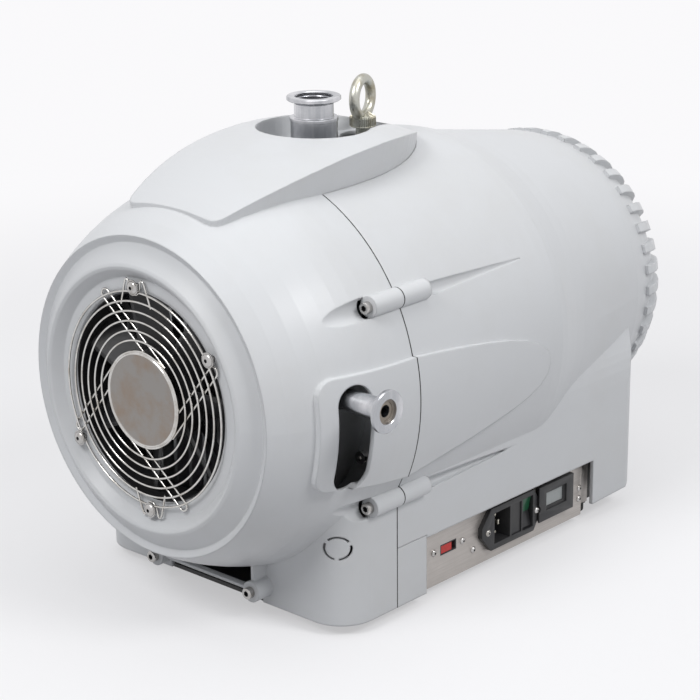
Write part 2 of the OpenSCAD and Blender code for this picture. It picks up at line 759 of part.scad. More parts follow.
module guard_screws() {
    back = ring_y - wire_d / 2 - over / 8;
    color("silver") guard_screw_places() difference() {
        union() {
            translate([0, back - guard_head_h, 0]) rotate([-90, 0, 0])
                cylinder(r1 = guard_head_r / 2, r2 = guard_head_r, h = guard_head_h, $fn = plain);
            bar_y(guard_shank_r, back, fan_front_y + fan_flange_t, 0, 0);
        }
        translate([0, back - guard_head_h - over, 0]) rotate([-90, 0, 0])
            cylinder(r = guard_hex_r, h = over + guard_head_h / 2, $fn = 6);
    }
}

// Axial fan behind the guard
fan_rear_y = fan_front_y + fan_depth;
fan_ring_r = 76;
fan_ring_t = 2.5;
fan_flange_r = 87;
fan_flange_half = 80;
fan_flange_t = 4;
fan_flange_turn = 63;
fan_hub_r = 30;
fan_strut_w = 6;
fan_plate_t = 3;
module fan_flange(y) {
    translate([0, y, 0]) intersection() {
        tube_y(fan_flange_r, fan_ring_r, 0, fan_flange_t);
        translate([0, -over, axis_z]) rotate([0, -fan_flange_turn, 0])
            translate([-2 * fan_flange_r, 0, -fan_flange_half])
                cube([4 * fan_flange_r, fan_flange_t + 2 * over, 2 * fan_flange_half]);
    }
}
module fan_frame() {
    color("black") difference() {
        union() {
            fan_flange(fan_front_y);
            tube_y(fan_ring_r + fan_ring_t, fan_ring_r, fan_front_y, fan_rear_y);
            fan_flange(fan_rear_y - fan_flange_t);
            bar_y(fan_hub_r, fan_rear_y - fan_plate_t, fan_rear_y);
            for (i = [0:3]) translate([0, fan_rear_y - fan_plate_t / 2, axis_z]) rotate([0, 45 + 90 * i, 0])
                translate([fan_hub_r - 2 * over, -over, -fan_strut_w / 2])
                    cube([fan_ring_r - fan_hub_r + 3 * over, 2 * over, fan_strut_w]);
        }
        guard_screw_places() bar_y(guard_shank_r, fan_front_y - over, fan_rear_y + over, 0, 0);
    }
}
fan_core_r = 24;
fan_core_inset = 9;
fan_core_front_y = fan_front_y + fan_core_inset;
fan_pin_r = 3;
module fan_motor() {
    color("saddlebrown") difference() {
        union() {
            bar_y(fan_core_r, fan_core_front_y, fan_rear_y - 3 * fan_plate_t);
            bar_y(fan_core_r / 2, fan_rear_y - 3 * fan_plate_t, fan_rear_y - fan_plate_t);
        }
        bar_y(fan_pin_r + running_gap, fan_core_front_y - over, fan_rear_y - 2 * fan_plate_t);
    }
}
rotor_hub_r = 33;
rotor_wall = 2;
rotor_inset = 4;
rotor_front_y = fan_front_y + rotor_inset;
rotor_rear_y = fan_rear_y - 2 * fan_plate_t;
blade_tip_r = 73;
blade_chord = 26;
blade_t = 2.4;
blade_tilt = 38;
module fan_rotor() {
    mid_y = (rotor_front_y + rotor_rear_y) / 2;
    color("black") {
        difference() {
            bar_y(rotor_hub_r, rotor_front_y, rotor_rear_y, 0, axis_z, fine);
            bar_y(rotor_hub_r - rotor_wall, rotor_front_y + rotor_wall, rotor_rear_y + over, 0, axis_z, fine);
        }
        bar_y(fan_pin_r, rotor_front_y + rotor_wall / 2, fan_rear_y - 2 * fan_plate_t - over);
        intersection() {
            tube_y(blade_tip_r, rotor_hub_r - rotor_wall / 2, rotor_front_y, rotor_rear_y);
            for (i = [0:blade_count - 1]) translate([0, mid_y, axis_z]) rotate([0, i * 360 / blade_count, 0])
                rotate([blade_tilt, 0, 0]) translate([0, -blade_t / 2, -blade_chord / 2])
                    cube([2 * blade_tip_r, blade_t, blade_chord]);
        }
    }
}

// Scroll set: two spiral wraps, one fixed, the other orbiting half a pitch away
scroll_space = 22;
scroll_flange_r = barrel_r - scroll_space;
scroll_flange_w = 10.5;
scroll_rim_out = scroll_flange_r - scroll_flange_w;
scroll_rim_w = 6;
scroll_rim_in = scroll_rim_out - scroll_rim_w;
wrap_first_r = 26;
wrap_margin = 9.5;
wrap_last_r = scroll_rim_in - wrap_margin;
wrap_fn = 45;
orbit_e = scroll_pitch / 2 - wrap_t - wrap_gap;
seal_w = 1.8;
seal_depth = 2;
function spiral_r(turn) = scroll_pitch * turn;
function wrap_edge(half, first_r, last_r) = [for (i = [ceil(first_r / scroll_pitch * wrap_fn):
    floor(last_r / scroll_pitch * wrap_fn)]) polar(spiral_r(i / wrap_fn) + half, 360 * i / wrap_fn)];
module spiral_band(half, first_r, last_r) {
    outer = wrap_edge(half, first_r, last_r);
    inner = wrap_edge(-half, first_r, last_r);
    polygon(concat(outer, [for (i = [len(inner) - 1:-1:0]) inner[i]]));
}
module scroll_wrap(depth) {
    difference() {
        linear_extrude(depth) spiral_band(wrap_t / 2, wrap_first_r, wrap_last_r);
        translate([0, 0, depth - seal_depth]) linear_extrude(seal_depth + over)
            spiral_band(seal_w / 2, wrap_first_r + seal_depth, wrap_last_r - seal_depth);
    }
}
module tip_seal(depth) {
    translate([0, 0, depth - seal_depth]) linear_extrude(seal_depth)
        spiral_band(seal_w / 2, wrap_first_r + seal_depth, wrap_last_r - seal_depth);
}
exhaust_root_x = scroll_rim_out + end_gap;
scroll_plate_t = 11;
scroll_flange_t = 8;
scroll_tip_y = scroll_floor_y + wrap_h;
housing_gap = 2;
housing_front_y = scroll_tip_y + housing_gap;
fin_front_y = -196;
fin_t = 3;
fin_pitch = 15;
fin_half_count = 6;
exhaust_boss_r = 13;
clamp_count = 8;
clamp_turn = 22.5;
clamp_in = 5;
clamp_r = scroll_flange_r - clamp_in;
clamp_shank_r = 3;
clamp_head_r = 4.6;
clamp_head_h = 4;
clamp_depth = 10;
module clamp_places() {
    for (i = [0:clamp_count - 1]) {
        a = clamp_turn + i * 360 / clamp_count;
        translate([clamp_r * cos(a), 0, axis_z + clamp_r * sin(a)]) children();
    }
}
module fixed_scroll() {
    back_y = scroll_floor_y - scroll_plate_t;
    color("gray") difference() {
        union() {
            difference() {
                union() {
                    bar_y(scroll_rim_out, back_y, housing_front_y, 0, axis_z, fine);
                    bar_y(scroll_flange_r, housing_front_y - scroll_flange_t, housing_front_y, 0, axis_z, fine);
                    intersection() {
                        bar_y(scroll_rim_in, fin_front_y, back_y + over, 0, axis_z, fine);
                        for (i = [-fin_half_count:fin_half_count]) box(i * fin_pitch - fin_t / 2,
                            i * fin_pitch + fin_t / 2, fin_front_y, back_y + over, over, 2 * axis_z);
                    }
                    hole_x(exhaust_boss_r, -exhaust_boss_r, exhaust_root_x, exhaust_y, exhaust_z);
                }
                bar_y(scroll_rim_in, scroll_floor_y, housing_front_y + over, 0, axis_z, fine);
            }
            translate([0, scroll_floor_y - over, axis_z]) rotate([-90, 0, 0])
                scroll_wrap(wrap_h - end_gap + over);
        }
        hole_x(exhaust_hole_r, 0, exhaust_root_x + over, exhaust_y, exhaust_z);
        bar_y(exhaust_hole_r, exhaust_y, scroll_floor_y + over, 0, exhaust_z);
        clamp_places() bar_y(clamp_shank_r + end_gap, housing_front_y - scroll_flange_t - over,
            housing_front_y + over, 0, 0);
    }
}
module scroll_screws() {
    top = housing_front_y - scroll_flange_t;
    color("dimgray") clamp_places() difference() {
        union() {
            bar_y(clamp_head_r, top - clamp_head_h, top, 0, 0);
            bar_y(clamp_shank_r, top, housing_front_y + clamp_depth, 0, 0);
        }
        translate([0, top - clamp_head_h - over, 0]) rotate([-90, 0, 0])
            cylinder(r = clamp_shank_r / 2, h = over + clamp_head_h / 2, $fn = 6);
    }
}
module fixed_tip_seal() {
    color("tan") translate([0, scroll_floor_y - over, axis_z]) rotate([-90, 0, 0])
        tip_seal(wrap_h - end_gap + over);
}

orbit_z = axis_z + orbit_e;
orbit_plate_gap = 1.45;
orbit_plate_r = scroll_rim_in - orbit_e - orbit_plate_gap;
orbit_plate_t = 10;
orbit_hub_r = 30;
orbit_back_y = scroll_tip_y + orbit_plate_t;
crank_bearing_r = 17;
crank_inset = 3;
crank_front_y = orbit_back_y + crank_inset;
hub_len = 24;
hub_rear_y = orbit_back_y + hub_len;
idler_in = 16.5;
idler_r = orbit_plate_r - idler_in;
idler_angles = [150, 30, 270];
lug_r = 12;
lug_len = 12;
lug_rear_y = orbit_back_y + lug_len;
idler_pin_r = 5;
// Draws its children at one idler's place on a circle about the given height
module at_idler(a, z) {
    translate([idler_r * cos(a), 0, z + idler_r * sin(a)]) children();
}
// The orbiting wrap stands half a turn round and points the other way
module orbit_wrap_frame() {
    translate([0, scroll_tip_y + over, orbit_z]) rotate([90, 0, 0]) mirror([0, 1, 0]) rotate([0, 0, 180]) children();
}
module orbiting_scroll() {
    color("darkgray") difference() {
        union() {
            bar_y(orbit_plate_r, scroll_tip_y, orbit_back_y, 0, orbit_z, fine);
            orbit_wrap_frame() scroll_wrap(wrap_h - end_gap + over);
            bar_y(orbit_hub_r, orbit_back_y - over, hub_rear_y, 0, orbit_z, fine);
            for (a = idler_angles) at_idler(a, orbit_z) bar_y(lug_r, orbit_back_y - over, lug_rear_y, 0, 0);
        }
        bar_y(crank_bearing_r, crank_front_y, hub_rear_y + over, 0, orbit_z, fine);
        for (a = idler_angles) at_idler(a, orbit_z)
            bar_y(idler_pin_r + running_gap, orbit_back_y, lug_rear_y + over, 0, 0);
    }
}
module orbiting_tip_seal() {
    color("tan") orbit_wrap_frame() tip_seal(wrap_h - end_gap + over);
}
module crank_bearing() {
    color("silver") tube_y(crank_bearing_r, pin_r + running_gap, crank_front_y, hub_rear_y - over, 0, orbit_z);
}

// Pump housing: carries the scrolls, the bearings and the motor
housing_step = 4;
housing_r = scroll_flange_r - housing_step;
housing_t = 8;
housing_in_r = housing_r - housing_t;
housing_boss_h = 6;
housing_boss_z = axis_z + housing_r + housing_boss_h;
housing_wall_y = -36;
housing_rear_y = -24;
bell_r = 88;
bell_in_r = 80;
bell_rear_y = 10;
bearing_r = 26;
bearing_boss_r = 34;
bearing_front_y = -44;
bearing_rear_y = -28;
shaft_hole_r = 14;
idler_post_r = 15;
idler_bearing_r = 11;
idler_post_y = -98;
idler_bearing_rear_y = -76;
idler_journal_r = 7;
idler_journal_rear_y = -72;
leg_in_x = 46;
leg_out_x = 66;
leg_front_y = -108;
base_z = foot_h;
base_top_z = base_z + base_t;
module pump_housing() {
    color("gray") difference() {
        union() {
            tube_y(housing_r, housing_in_r, housing_front_y, housing_rear_y);
            bar_y(housing_r - over, housing_wall_y, housing_rear_y, 0, axis_z, fine);
            tube_y(scroll_flange_r, housing_in_r, housing_front_y, housing_front_y + clamp_depth);
            bar_y(bearing_boss_r, bearing_front_y, housing_wall_y + over);
            for (a = idler_angles) at_idler(a, axis_z) bar_y(idler_post_r, idler_post_y, housing_wall_y + over, 0, 0);
            tube_y(bell_r, bell_in_r, housing_rear_y - over, bell_rear_y);
            difference() {
                union() {
                    hole_z(housing_boss_r, axis_z, housing_boss_z, 0, inlet_y);
                    both_sides() box(leg_in_x, leg_out_x, leg_front_y, housing_rear_y, base_top_z, axis_z - bell_r);
                }
                bar_y(housing_r - over, housing_front_y, housing_rear_y, 0, axis_z, fine);
            }
            difference() {
                hole_z(eye_post_r, axis_z, eye_post_z, 0, eye_y);
                bar_y(bell_in_r + over, housing_rear_y, bell_rear_y + over);
            }
        }
        bar_y(bearing_r, bearing_front_y - over, bearing_rear_y, 0, axis_z, fine);
        bar_y(shaft_hole_r, bearing_front_y, housing_rear_y + over);
        for (a = idler_angles) at_idler(a, axis_z)
            bar_y(idler_bearing_r, idler_post_y - over, idler_bearing_rear_y, 0, 0);
        for (a = idler_angles) at_idler(a, axis_z)
            bar_y(idler_journal_r + over, idler_bearing_rear_y - over, idler_journal_rear_y + over, 0, 0);
        hole_z(inlet_bore_d / 2, axis_z, housing_boss_z + over, 0, inlet_y, fine);
        hole_z(eye_shank_r + running_gap, eye_post_z - eye_shank_len, eye_post_z + over, 0, eye_y);
        clamp_places() bar_y(clamp_shank_r + running_gap, housing_front_y - over,
            housing_front_y + clamp_depth + over, 0, 0);
    }
}
module front_bearing() {
    color("silver") tube_y(bearing_r, shaft_r + running_gap, bearing_front_y, bearing_rear_y);
}
module idler_bearings() {
    color("silver") for (a = idler_angles) at_idler(a, axis_z)
        tube_y(idler_bearing_r, idler_journal_r + running_gap, idler_post_y, idler_bearing_rear_y, 0, 0);
}
web_gap = 0.5;
idler_web_r = 13;
idler_web_y = lug_rear_y + web_gap;
idler_web_t = 5;
module idler_crank(a) {
    color("slategray") at_idler(a, axis_z) {
        bar_y(idler_web_r, idler_web_y, idler_web_y + idler_web_t, 0, 0);
        bar_y(idler_pin_r, orbit_back_y + over, idler_web_y + over, 0, orbit_e);
        bar_y(idler_journal_r, idler_web_y + idler_web_t - over, idler_journal_rear_y, 0, 0);
    }
}
module idler_crank_top_left() {
    idler_crank(idler_angles[0]);
}
module idler_crank_top_right() {
    idler_crank(idler_angles[1]);
}
module idler_crank_bottom() {
    idler_crank(idler_angles[2]);
}
web_r = 19;
web_y = hub_rear_y + web_gap;
web_t = 8;
web_rear_y = web_y + web_t;
shaft_rear_y = 206;
module crankshaft() {
    color("slategray") {
        bar_y(pin_r, crank_front_y + over, web_y + over, 0, orbit_z, fine);
        bar_y(web_r, web_y, web_rear_y, 0, axis_z, fine);
        bar_y(shaft_r, web_rear_y - over, shaft_rear_y, 0, axis_z, fine);
    }
}
weight_in = 11;
weight_r = idler_r - idler_post_r - weight_in;
weight_hub_r = 21;
weight_t = 14;
weight_rear_y = web_rear_y + weight_t;
weight_cut = 12;
module counterweight() {
    color("dimgray") difference() {
        union() {
            bar_y(weight_hub_r, web_rear_y, weight_rear_y);
            intersection() {
                bar_y(weight_r, web_rear_y, weight_rear_y, 0, axis_z, fine);
                box(-weight_r, weight_r, web_rear_y, weight_rear_y, axis_z - weight_r, axis_z - weight_cut);
            }
        }
        bar_y(shaft_r, web_rear_y - over, weight_rear_y + over, 0, axis_z, fine);
    }
}

// Motor
motor_shell_r = 77;
motor_bore_r = 73;
motor_fin_count = 36;
motor_fin_w = 3;
motor_leg_x = 36;
motor_leg_w = 10;
motor_leg_y0 = 30;
motor_leg_y1 = 130;
module motor_housing() {
    teeth = [for (i = [0:motor_fin_count - 1]) for (p = [[motor_shell_r, -1], [motor_r, -1], [motor_r, 1],
        [motor_shell_r, 1]]) polar(p[0], i * 360 / motor_fin_count + p[1] * asin(motor_fin_w / 2 / p[0]))];
    color("lightsteelblue") difference() {
        union() {
            facing(motor_end_y) linear_extrude(motor_end_y - bell_rear_y) polygon(teeth);
            both_sides() box(motor_leg_x, motor_leg_x + motor_leg_w, motor_leg_y0, motor_leg_y1,
                base_top_z, axis_z - motor_bore_r + motor_leg_w);
        }
        bar_y(motor_bore_r, bell_rear_y - over, motor_end_y + over, 0, axis_z, fine);
    }
}
stator_y0 = 35;
stator_y1 = 125;
stator_in_r = 45;
slot_count = 12;
slot_ring_r = 59;
slot_r = 5;
winding_in_r = 50;
winding_out_r = 68;
winding_len = 16;
module slot_places() {
    for (i = [0:slot_count - 1]) {
        a = i * 360 / slot_count;
        translate([slot_ring_r * cos(a), 0, axis_z + slot_ring_r * sin(a)]) children();
    }
}
module motor_stator() {
    color("steelblue") difference() {
        tube_y(motor_bore_r, stator_in_r, stator_y0, stator_y1);
        slot_places() bar_y(slot_r, stator_y0 - over, stator_y1 + over, 0, 0);
    }
}
module motor_windings() {
    color("sienna") {
        tube_y(winding_out_r, winding_in_r, stator_y0 - winding_len, stator_y0);
        slot_places() bar_y(slot_r, stator_y0 - over, stator_y1 + over, 0, 0);
        tube_y(winding_out_r, winding_in_r, stator_y1, stator_y1 + winding_len);
    }
}
air_gap = 0.6;
rotor_ring_r = 40;
rotor_ring_w = 5;
module motor_rotor() {
    color("lightgray") difference() {
        union() {
            bar_y(stator_in_r - air_gap, stator_y0, stator_y1, 0, axis_z, fine);
            bar_y(rotor_ring_r, stator_y0 - rotor_ring_w, stator_y1 + rotor_ring_w, 0, axis_z, fine);
        }
        bar_y(shaft_r, stator_y0 - rotor_ring_w - over, stator_y1 + rotor_ring_w + over, 0, axis_z, fine);
    }
}
end_bell_t = 13;
rear_bearing_r = 21;
rear_boss_r = 27;
rear_bearing_inset = 5;
rear_bearing_y = motor_end_y - rear_bearing_inset;
rear_bearing_t = 14;
end_bell_y = motor_end_y + end_bell_t;
module motor_end_bell() {
    color("lightsteelblue") difference() {
        union() {
            bar_y(motor_r, motor_end_y, end_bell_y, 0, axis_z, fine);
            bar_y(rear_boss_r, rear_bearing_y, end_bell_y, 0, axis_z);
        }
        bar_y(rear_bearing_r, rear_bearing_y - over, rear_bearing_y + rear_bearing_t, 0, axis_z, fine);
        bar_y(shaft_hole_r, motor_end_y, end_bell_y + over);
    }
}
module rear_bearing() {
    color("silver") tube_y(rear_bearing_r, shaft_r + running_gap, rear_bearing_y, rear_bearing_y + rear_bearing_t);
}
motor_fan_gap = 6;
motor_fan_y = end_bell_y + motor_fan_gap;
motor_fan_r = 70;
motor_fan_hub_r = 20;
motor_fan_len = 20;
vane_count = 8;
vane_t = 2.5;
module motor_fan() {
    color("dimgray") difference() {
        union() {
            bar_y(motor_fan_r, motor_fan_y, motor_fan_y + vane_t, 0, axis_z, fine);
            bar_y(motor_fan_hub_r, motor_fan_y, motor_fan_y + motor_fan_len);
            for (i = [0:vane_count - 1]) translate([0, motor_fan_y + over, axis_z])
                rotate([0, i * 360 / vane_count, 0]) translate([motor_fan_hub_r - 2 * over, 0, -vane_t / 2])
                    cube([motor_fan_r - motor_fan_hub_r, motor_fan_len - 2 * over, vane_t]);
        }
        bar_y(shaft_r, motor_fan_y - over, motor_fan_y + motor_fan_len + over, 0, axis_z, fine);
    }
}
capacitor_r = 20;
capacitor_h = 74;
capacitor_in = 12.3;
capacitor_x = capacitor_r + capacitor_in - panel_in_x;
capacitor_y = 40;
terminal_x = 7;
terminal_h = 8;
module run_capacitor() {
    color("whitesmoke") {
        hole_z(capacitor_r, base_top_z, base_top_z + capacitor_h, capacitor_x, capacitor_y);
        for (s = [-1, 1]) translate([capacitor_x + s * terminal_x, capacitor_y, base_top_z + capacitor_h - over])
            cylinder(r = cap_shank_r, h = terminal_h, $fn = plain);
    }
}

// Base frame on four feet
foot_in = 11.3;
foot_x = panel_in_x - foot_r - foot_in;
foot_y = 130;
foot_hole_r = 3.3;
plate_inset = 4.5;
bracket_half = 30;
bracket_t = 4;
bracket_foot = 22;
bracket_edge = 5;
module foot_places() {
    for (x = [-foot_x, foot_x]) for (y = [-foot_y, foot_y]) translate([x, y, 0]) children();
}
// Half of the plate's plan behind the panel: in to the rear feet, then in again to the rear bracket
function base_side(s) = [[s * panel_in_x, 2 * crest_y], [s * panel_in_x, panel_rear_y - 2 * plate_inset],
    [s * (foot_x + foot_r), panel_rear_y - plate_inset], [s * (foot_x + foot_r), foot_y + foot_r / 2],
    [s * (foot_x + foot_r / 2), foot_y + foot_r], [s * (bracket_half + bracket_edge), foot_y + foot_r],
    [s * (bracket_half + bracket_edge), 2 * skirt_rear_y]];
module base_frame() {
    right = base_side(1);
    left = base_side(-1);
    color("dimgray") difference() {
        translate([0, 0, base_z]) linear_extrude(base_t) intersection() {
            skirt_plan(plate_inset);
            polygon(concat(right, [for (i = [len(left) - 1:-1:0]) left[i]]));
        }
        foot_places() cylinder(r = foot_hole_r, h = 2 * foot_h, $fn = plain);
    }
}
module rubber_feet() {
    color("black") foot_places() difference() {
        cylinder(r = foot_r, h = foot_h, $fn = plain);
        translate([0, 0, -over]) cylinder(r = foot_hole_r, h = foot_h + 2 * over, $fn = plain);
    }
}
module rear_support() {
    y1 = skirt_rear_y - wall - end_gap;
    color("silver") difference() {
        union() {
            box(-bracket_half, bracket_half, y1 - bracket_t, y1, base_top_z, axis_z - motor_r + bracket_edge);
            box(-bracket_half, bracket_half, y1 - bracket_foot, y1 - over, base_top_z, base_top_z + bracket_t);
        }
        bar_y(motor_r + end_gap, motor_end_y - over, skirt_rear_y, 0, axis_z, fine);
    }
}

// Steel control panel with what is set into it
sheet_front_y = -96;
sheet_rear_y = 113.5;
sheet_low_z = 6.5;
sheet_top_z = 54;
sheet_lip = 14;
joggle = 8;
joggle_len = 16;
selector_y0 = -61.3;
selector_y1 = -42.7;
selector_z0 = 28;
selector_z1 = 36.5;
inlet_y0 = -6;
inlet_y1 = 49.5;
inlet_z0 = 17;
inlet_z1 = 47;
meter_y0 = 55;
meter_y1 = 91;
meter_z0 = 23;
meter_z1 = 46;
screw_yz = [[-68.7, 32.8], [-35.6, 32], [-23, 20.5], [110.5, 29.8], [110.2, 20.9]];
ear_yz = [[-10, 30.8], [50, 30.8]];
stud_r = 1.5;
stud_len = 6;
stud_head_r = 2.7;
stud_head_h = 1.6;
module control_panel() {
    color("silver") difference() {
        union() {
            box(panel_in_x, panel_x, sheet_front_y, sheet_rear_y, sheet_low_z, sheet_top_z);
            box(panel_in_x - sheet_lip, panel_x - panel_t / 2, sheet_front_y, sheet_rear_y,
                base_top_z, base_top_z + panel_t);
            box(panel_in_x - joggle - panel_t / 2, panel_x - panel_t / 2, sheet_rear_y - panel_t,
                sheet_rear_y - panel_t / 4, base_top_z + panel_t / 2, sheet_top_z - panel_t);
            box(panel_in_x - joggle - panel_t, panel_in_x - joggle, sheet_rear_y - 2 * panel_t,
                sheet_rear_y + joggle_len, base_top_z + panel_t / 2, sheet_top_z - panel_t);
        }
        box(panel_in_x - over, panel_x + over, selector_y0, selector_y1, selector_z0, selector_z1);
        box(panel_in_x - over, panel_x + over, inlet_y0, inlet_y1, inlet_z0, inlet_z1);
        box(panel_in_x - over, panel_x + over, meter_y0, meter_y1, meter_z0, meter_z1);
        for (p = screw_yz) hole_x(stud_r + running_gap, panel_in_x - over, panel_x + over, p[0], p[1]);
        for (p = ear_yz) hole_x(stud_r + running_gap, panel_in_x - over, panel_x + over, p[0], p[1]);
    }
}
module stud(x, y, z) {
    translate([x, y, z]) rotate([0, 90, 0]) {
        cylinder(r1 = stud_head_r, r2 = stud_head_r / 2, h = stud_head_h, $fn = plain);
        translate([0, 0, -stud_len]) cylinder(r = stud_r, h = stud_len + stud_head_h / 2, $fn = plain);
    }
}
module panel_screws() {
    color("silver") {
        for (p = screw_yz) stud(panel_x, p[0], p[1]);
        for (p = ear_yz) stud(bezel_x, p[0], p[1]);
    }
}
bezel_t = 4;
bezel_x = panel_x + bezel_t;
body_depth = 33.5;
body_x = panel_x - body_depth;
socket_depth = 19.5;
socket_x = bezel_x - socket_depth;
socket_y0 = -2;
socket_y1 = 17;
socket_z0 = 19.5;
socket_z1 = 44.5;
drawer_depth = 29.5;
drawer_x = bezel_x - drawer_depth;
drawer_y0 = 19;
drawer_y1 = 31;
rocker_y0 = 32.8;
rocker_y1 = 45.2;
rocker_sink = 6;
rocker_x = bezel_x - rocker_sink;
rocker_z = 32;
rocker_room = 17.5;
rocker_in_x = bezel_x - rocker_room;
rocker_half = 12.7;
rocker_pin_r = 1.4;
rocker_pin_len = 1;
bezel_low_z = 15;
bezel_top_z = 49;
bezel_point_y = -17;
bezel_end_y = 53.5;
bezel_shoulder_y = 46.5;
bezel_slope = 8;
module mains_inlet() {
    color("black") difference() {
        union() {
            box(body_x, panel_x, inlet_y0, inlet_y1, inlet_z0, inlet_z1);
            translate([panel_x, 0, 0]) rotate([90, 0, 90]) linear_extrude(bezel_x - panel_x) polygon([
                [inlet_y0, bezel_low_z], [bezel_shoulder_y, bezel_low_z], [bezel_end_y, inlet_z0 + bezel_slope],
                [bezel_end_y, inlet_z1 - bezel_slope], [bezel_shoulder_y, bezel_top_z], [inlet_y0, bezel_top_z],
                [bezel_point_y, rocker_z + bezel_slope / 2], [bezel_point_y, rocker_z - bezel_slope / 2]]);
        }
        box(socket_x, bezel_x + over, socket_y0, socket_y1, socket_z0, socket_z1);
        box(drawer_x, bezel_x + over, drawer_y0, drawer_y1, socket_z0, socket_z1);
        box(rocker_in_x, bezel_x + over, rocker_y0 - fit_gap, rocker_y1 + fit_gap,
            rocker_z - rocker_half - fit_gap, rocker_z + rocker_half + fit_gap);
        bar_y(rocker_pin_r + running_gap, rocker_y0 - rocker_pin_len - fit_gap,
            rocker_y1 + rocker_pin_len + fit_gap, rocker_x, rocker_z);
        for (p = ear_yz) hole_x(stud_r + running_gap, panel_x - 2 * stud_len, bezel_x + over, p[0], p[1]);
    }
}
pin_y = 5.5;
earth_y = 10.5;
pin_pitch = 14;
blade_w = 4;
blade_thick = 2;
pins_sink = 6;
pins_front_x = bezel_x - pins_sink;
module mains_pins() {
    color("silver") {
        for (z = [rocker_z - pin_pitch / 2, rocker_z + pin_pitch / 2])
            box(socket_x, pins_front_x, pin_y - blade_w / 2, pin_y + blade_w / 2, z - blade_thick / 2, z + blade_thick / 2);
        box(socket_x, pins_front_x, earth_y - blade_thick / 2, earth_y + blade_thick / 2,
            rocker_z - blade_w / 2, rocker_z + blade_w / 2);
    }
}
rocker_depth = 6;
rocker_tip = 4;
rocker_dip = 1.4;
module power_rocker() {
    tip = sqrt(pow(rocker_half, 2) - pow(rocker_tip, 2));
    color("green") {
        translate([rocker_x, rocker_y1, rocker_z]) rotate([90, 0, 0]) linear_extrude(rocker_y1 - rocker_y0)
            polygon([[-rocker_depth, rocker_tip - tip], [rocker_tip, -tip], [rocker_dip, 0], [rocker_tip, tip],
                [-rocker_depth, tip - rocker_tip]]);
        bar_y(rocker_pin_r, rocker_y0 - rocker_pin_len, rocker_y1 + rocker_pin_len, rocker_x, rocker_z);
    }
}
fuse_r = 2.6;
fuse_len = 20;
fuse_pitch = 12;
fuse_zs = [rocker_z - fuse_pitch / 2, rocker_z + fuse_pitch / 2];
module fuse_drawer() {
    color("dimgray") difference() {
        box(drawer_x + fit_gap, bezel_x - over, drawer_y0 + fit_gap, drawer_y1 - fit_gap,
            socket_z0 + fit_gap, socket_z1 - fit_gap);
        for (z = fuse_zs) hole_x(fuse_r, drawer_x, drawer_x + fuse_len + over, (drawer_y0 + drawer_y1) / 2, z);
    }
}
module fuse_links() {
    color("lightgray") for (z = fuse_zs)
        hole_x(fuse_r, drawer_x + over, drawer_x + fuse_len, (drawer_y0 + drawer_y1) / 2, z);
}
meter_bezel_t = 6;
meter_bezel_x = panel_x + meter_bezel_t;
meter_bezel_y0 = 51;
meter_bezel_y1 = 95;
meter_bezel_z0 = 20;
meter_bezel_z1 = 49;
meter_depth = 29.5;
meter_back_x = panel_x - meter_depth;
window_y0 = 62;
window_y1 = 84;
window_z0 = 30;
window_z1 = 41;
window_sink = 3;
window_x = meter_bezel_x - window_sink;
window_t = 1;
window_rim = 2;
module hour_meter() {
    color("black") difference() {
        union() {
            box(meter_back_x, bezel_x, meter_y0, meter_y1, meter_z0, meter_z1);
            difference() {
                box(panel_x, meter_bezel_x, meter_bezel_y0, meter_bezel_y1, meter_bezel_z0, meter_bezel_z1);
                box(panel_x - over, bezel_x + fit_gap, meter_bezel_y0 - over, bezel_end_y + fit_gap,
                    meter_bezel_z0 - over, meter_bezel_z1 + over);
                hole_x(stud_head_r + fit_gap, panel_x, meter_bezel_x + over, ear_yz[1][0], ear_yz[1][1]);
            }
        }
        box(window_x - window_t, meter_bezel_x + over, window_y0, window_y1, window_z0, window_z1);
        box(window_x + window_t, meter_bezel_x + over, window_y0 - window_rim, window_y1 + window_rim,
            window_z0 - window_rim, window_z1 + window_rim);
    }
}
module meter_window() {
    color("white") box(window_x - window_t, window_x, window_y0, window_y1, window_z0, window_z1);
}
selector_depth = 11.5;
selector_back_x = panel_x - selector_depth;
slider_depth = 7.5;
slider_x = panel_x - slider_depth;
slider_len = 12;
slider_travel = 3;
selector_wall = 1;
module selector_frame() {
    color("black") difference() {
        box(selector_back_x, panel_x, selector_y0, selector_y1, selector_z0, selector_z1);
        box(slider_x, panel_x + over, selector_y0 + selector_wall, selector_y1 - selector_wall,
            selector_z0 + selector_wall, selector_z1 - selector_wall);
    }
}
module voltage_selector() {
    y0 = selector_y0 + selector_wall + fit_gap;
    color("red") box(slider_x + fit_gap, panel_x - fit_gap, y0, y0 + slider_len,
        selector_z0 + selector_wall + fit_gap, selector_z1 - selector_wall - fit_gap);
}

base_frame();
rubber_feet();
rear_support();
control_panel();
panel_screws();
front_cowling();
rear_cowling();
cowling_screws();
inlet_port();
exhaust_port();
lifting_eye();
fan_guard();
guard_disc();
guard_screws();
fan_frame();
fan_motor();
fan_rotor();
fixed_scroll();
scroll_screws();
fixed_tip_seal();
orbiting_scroll();
orbiting_tip_seal();
pump_housing();
crankshaft();
crank_bearing();
front_bearing();
rear_bearing();
counterweight();
idler_bearings();
idler_crank_top_left();
idler_crank_top_right();
idler_crank_bottom();
motor_housing();
motor_end_bell();
motor_stator();
motor_windings();
motor_rotor();
motor_fan();
run_capacitor();
mains_inlet();
mains_pins();
power_rocker();
fuse_drawer();
fuse_links();
hour_meter();
meter_window();
selector_frame();
voltage_selector();
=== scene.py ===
import json
import math

import bpy
from mathutils import Matrix, Vector


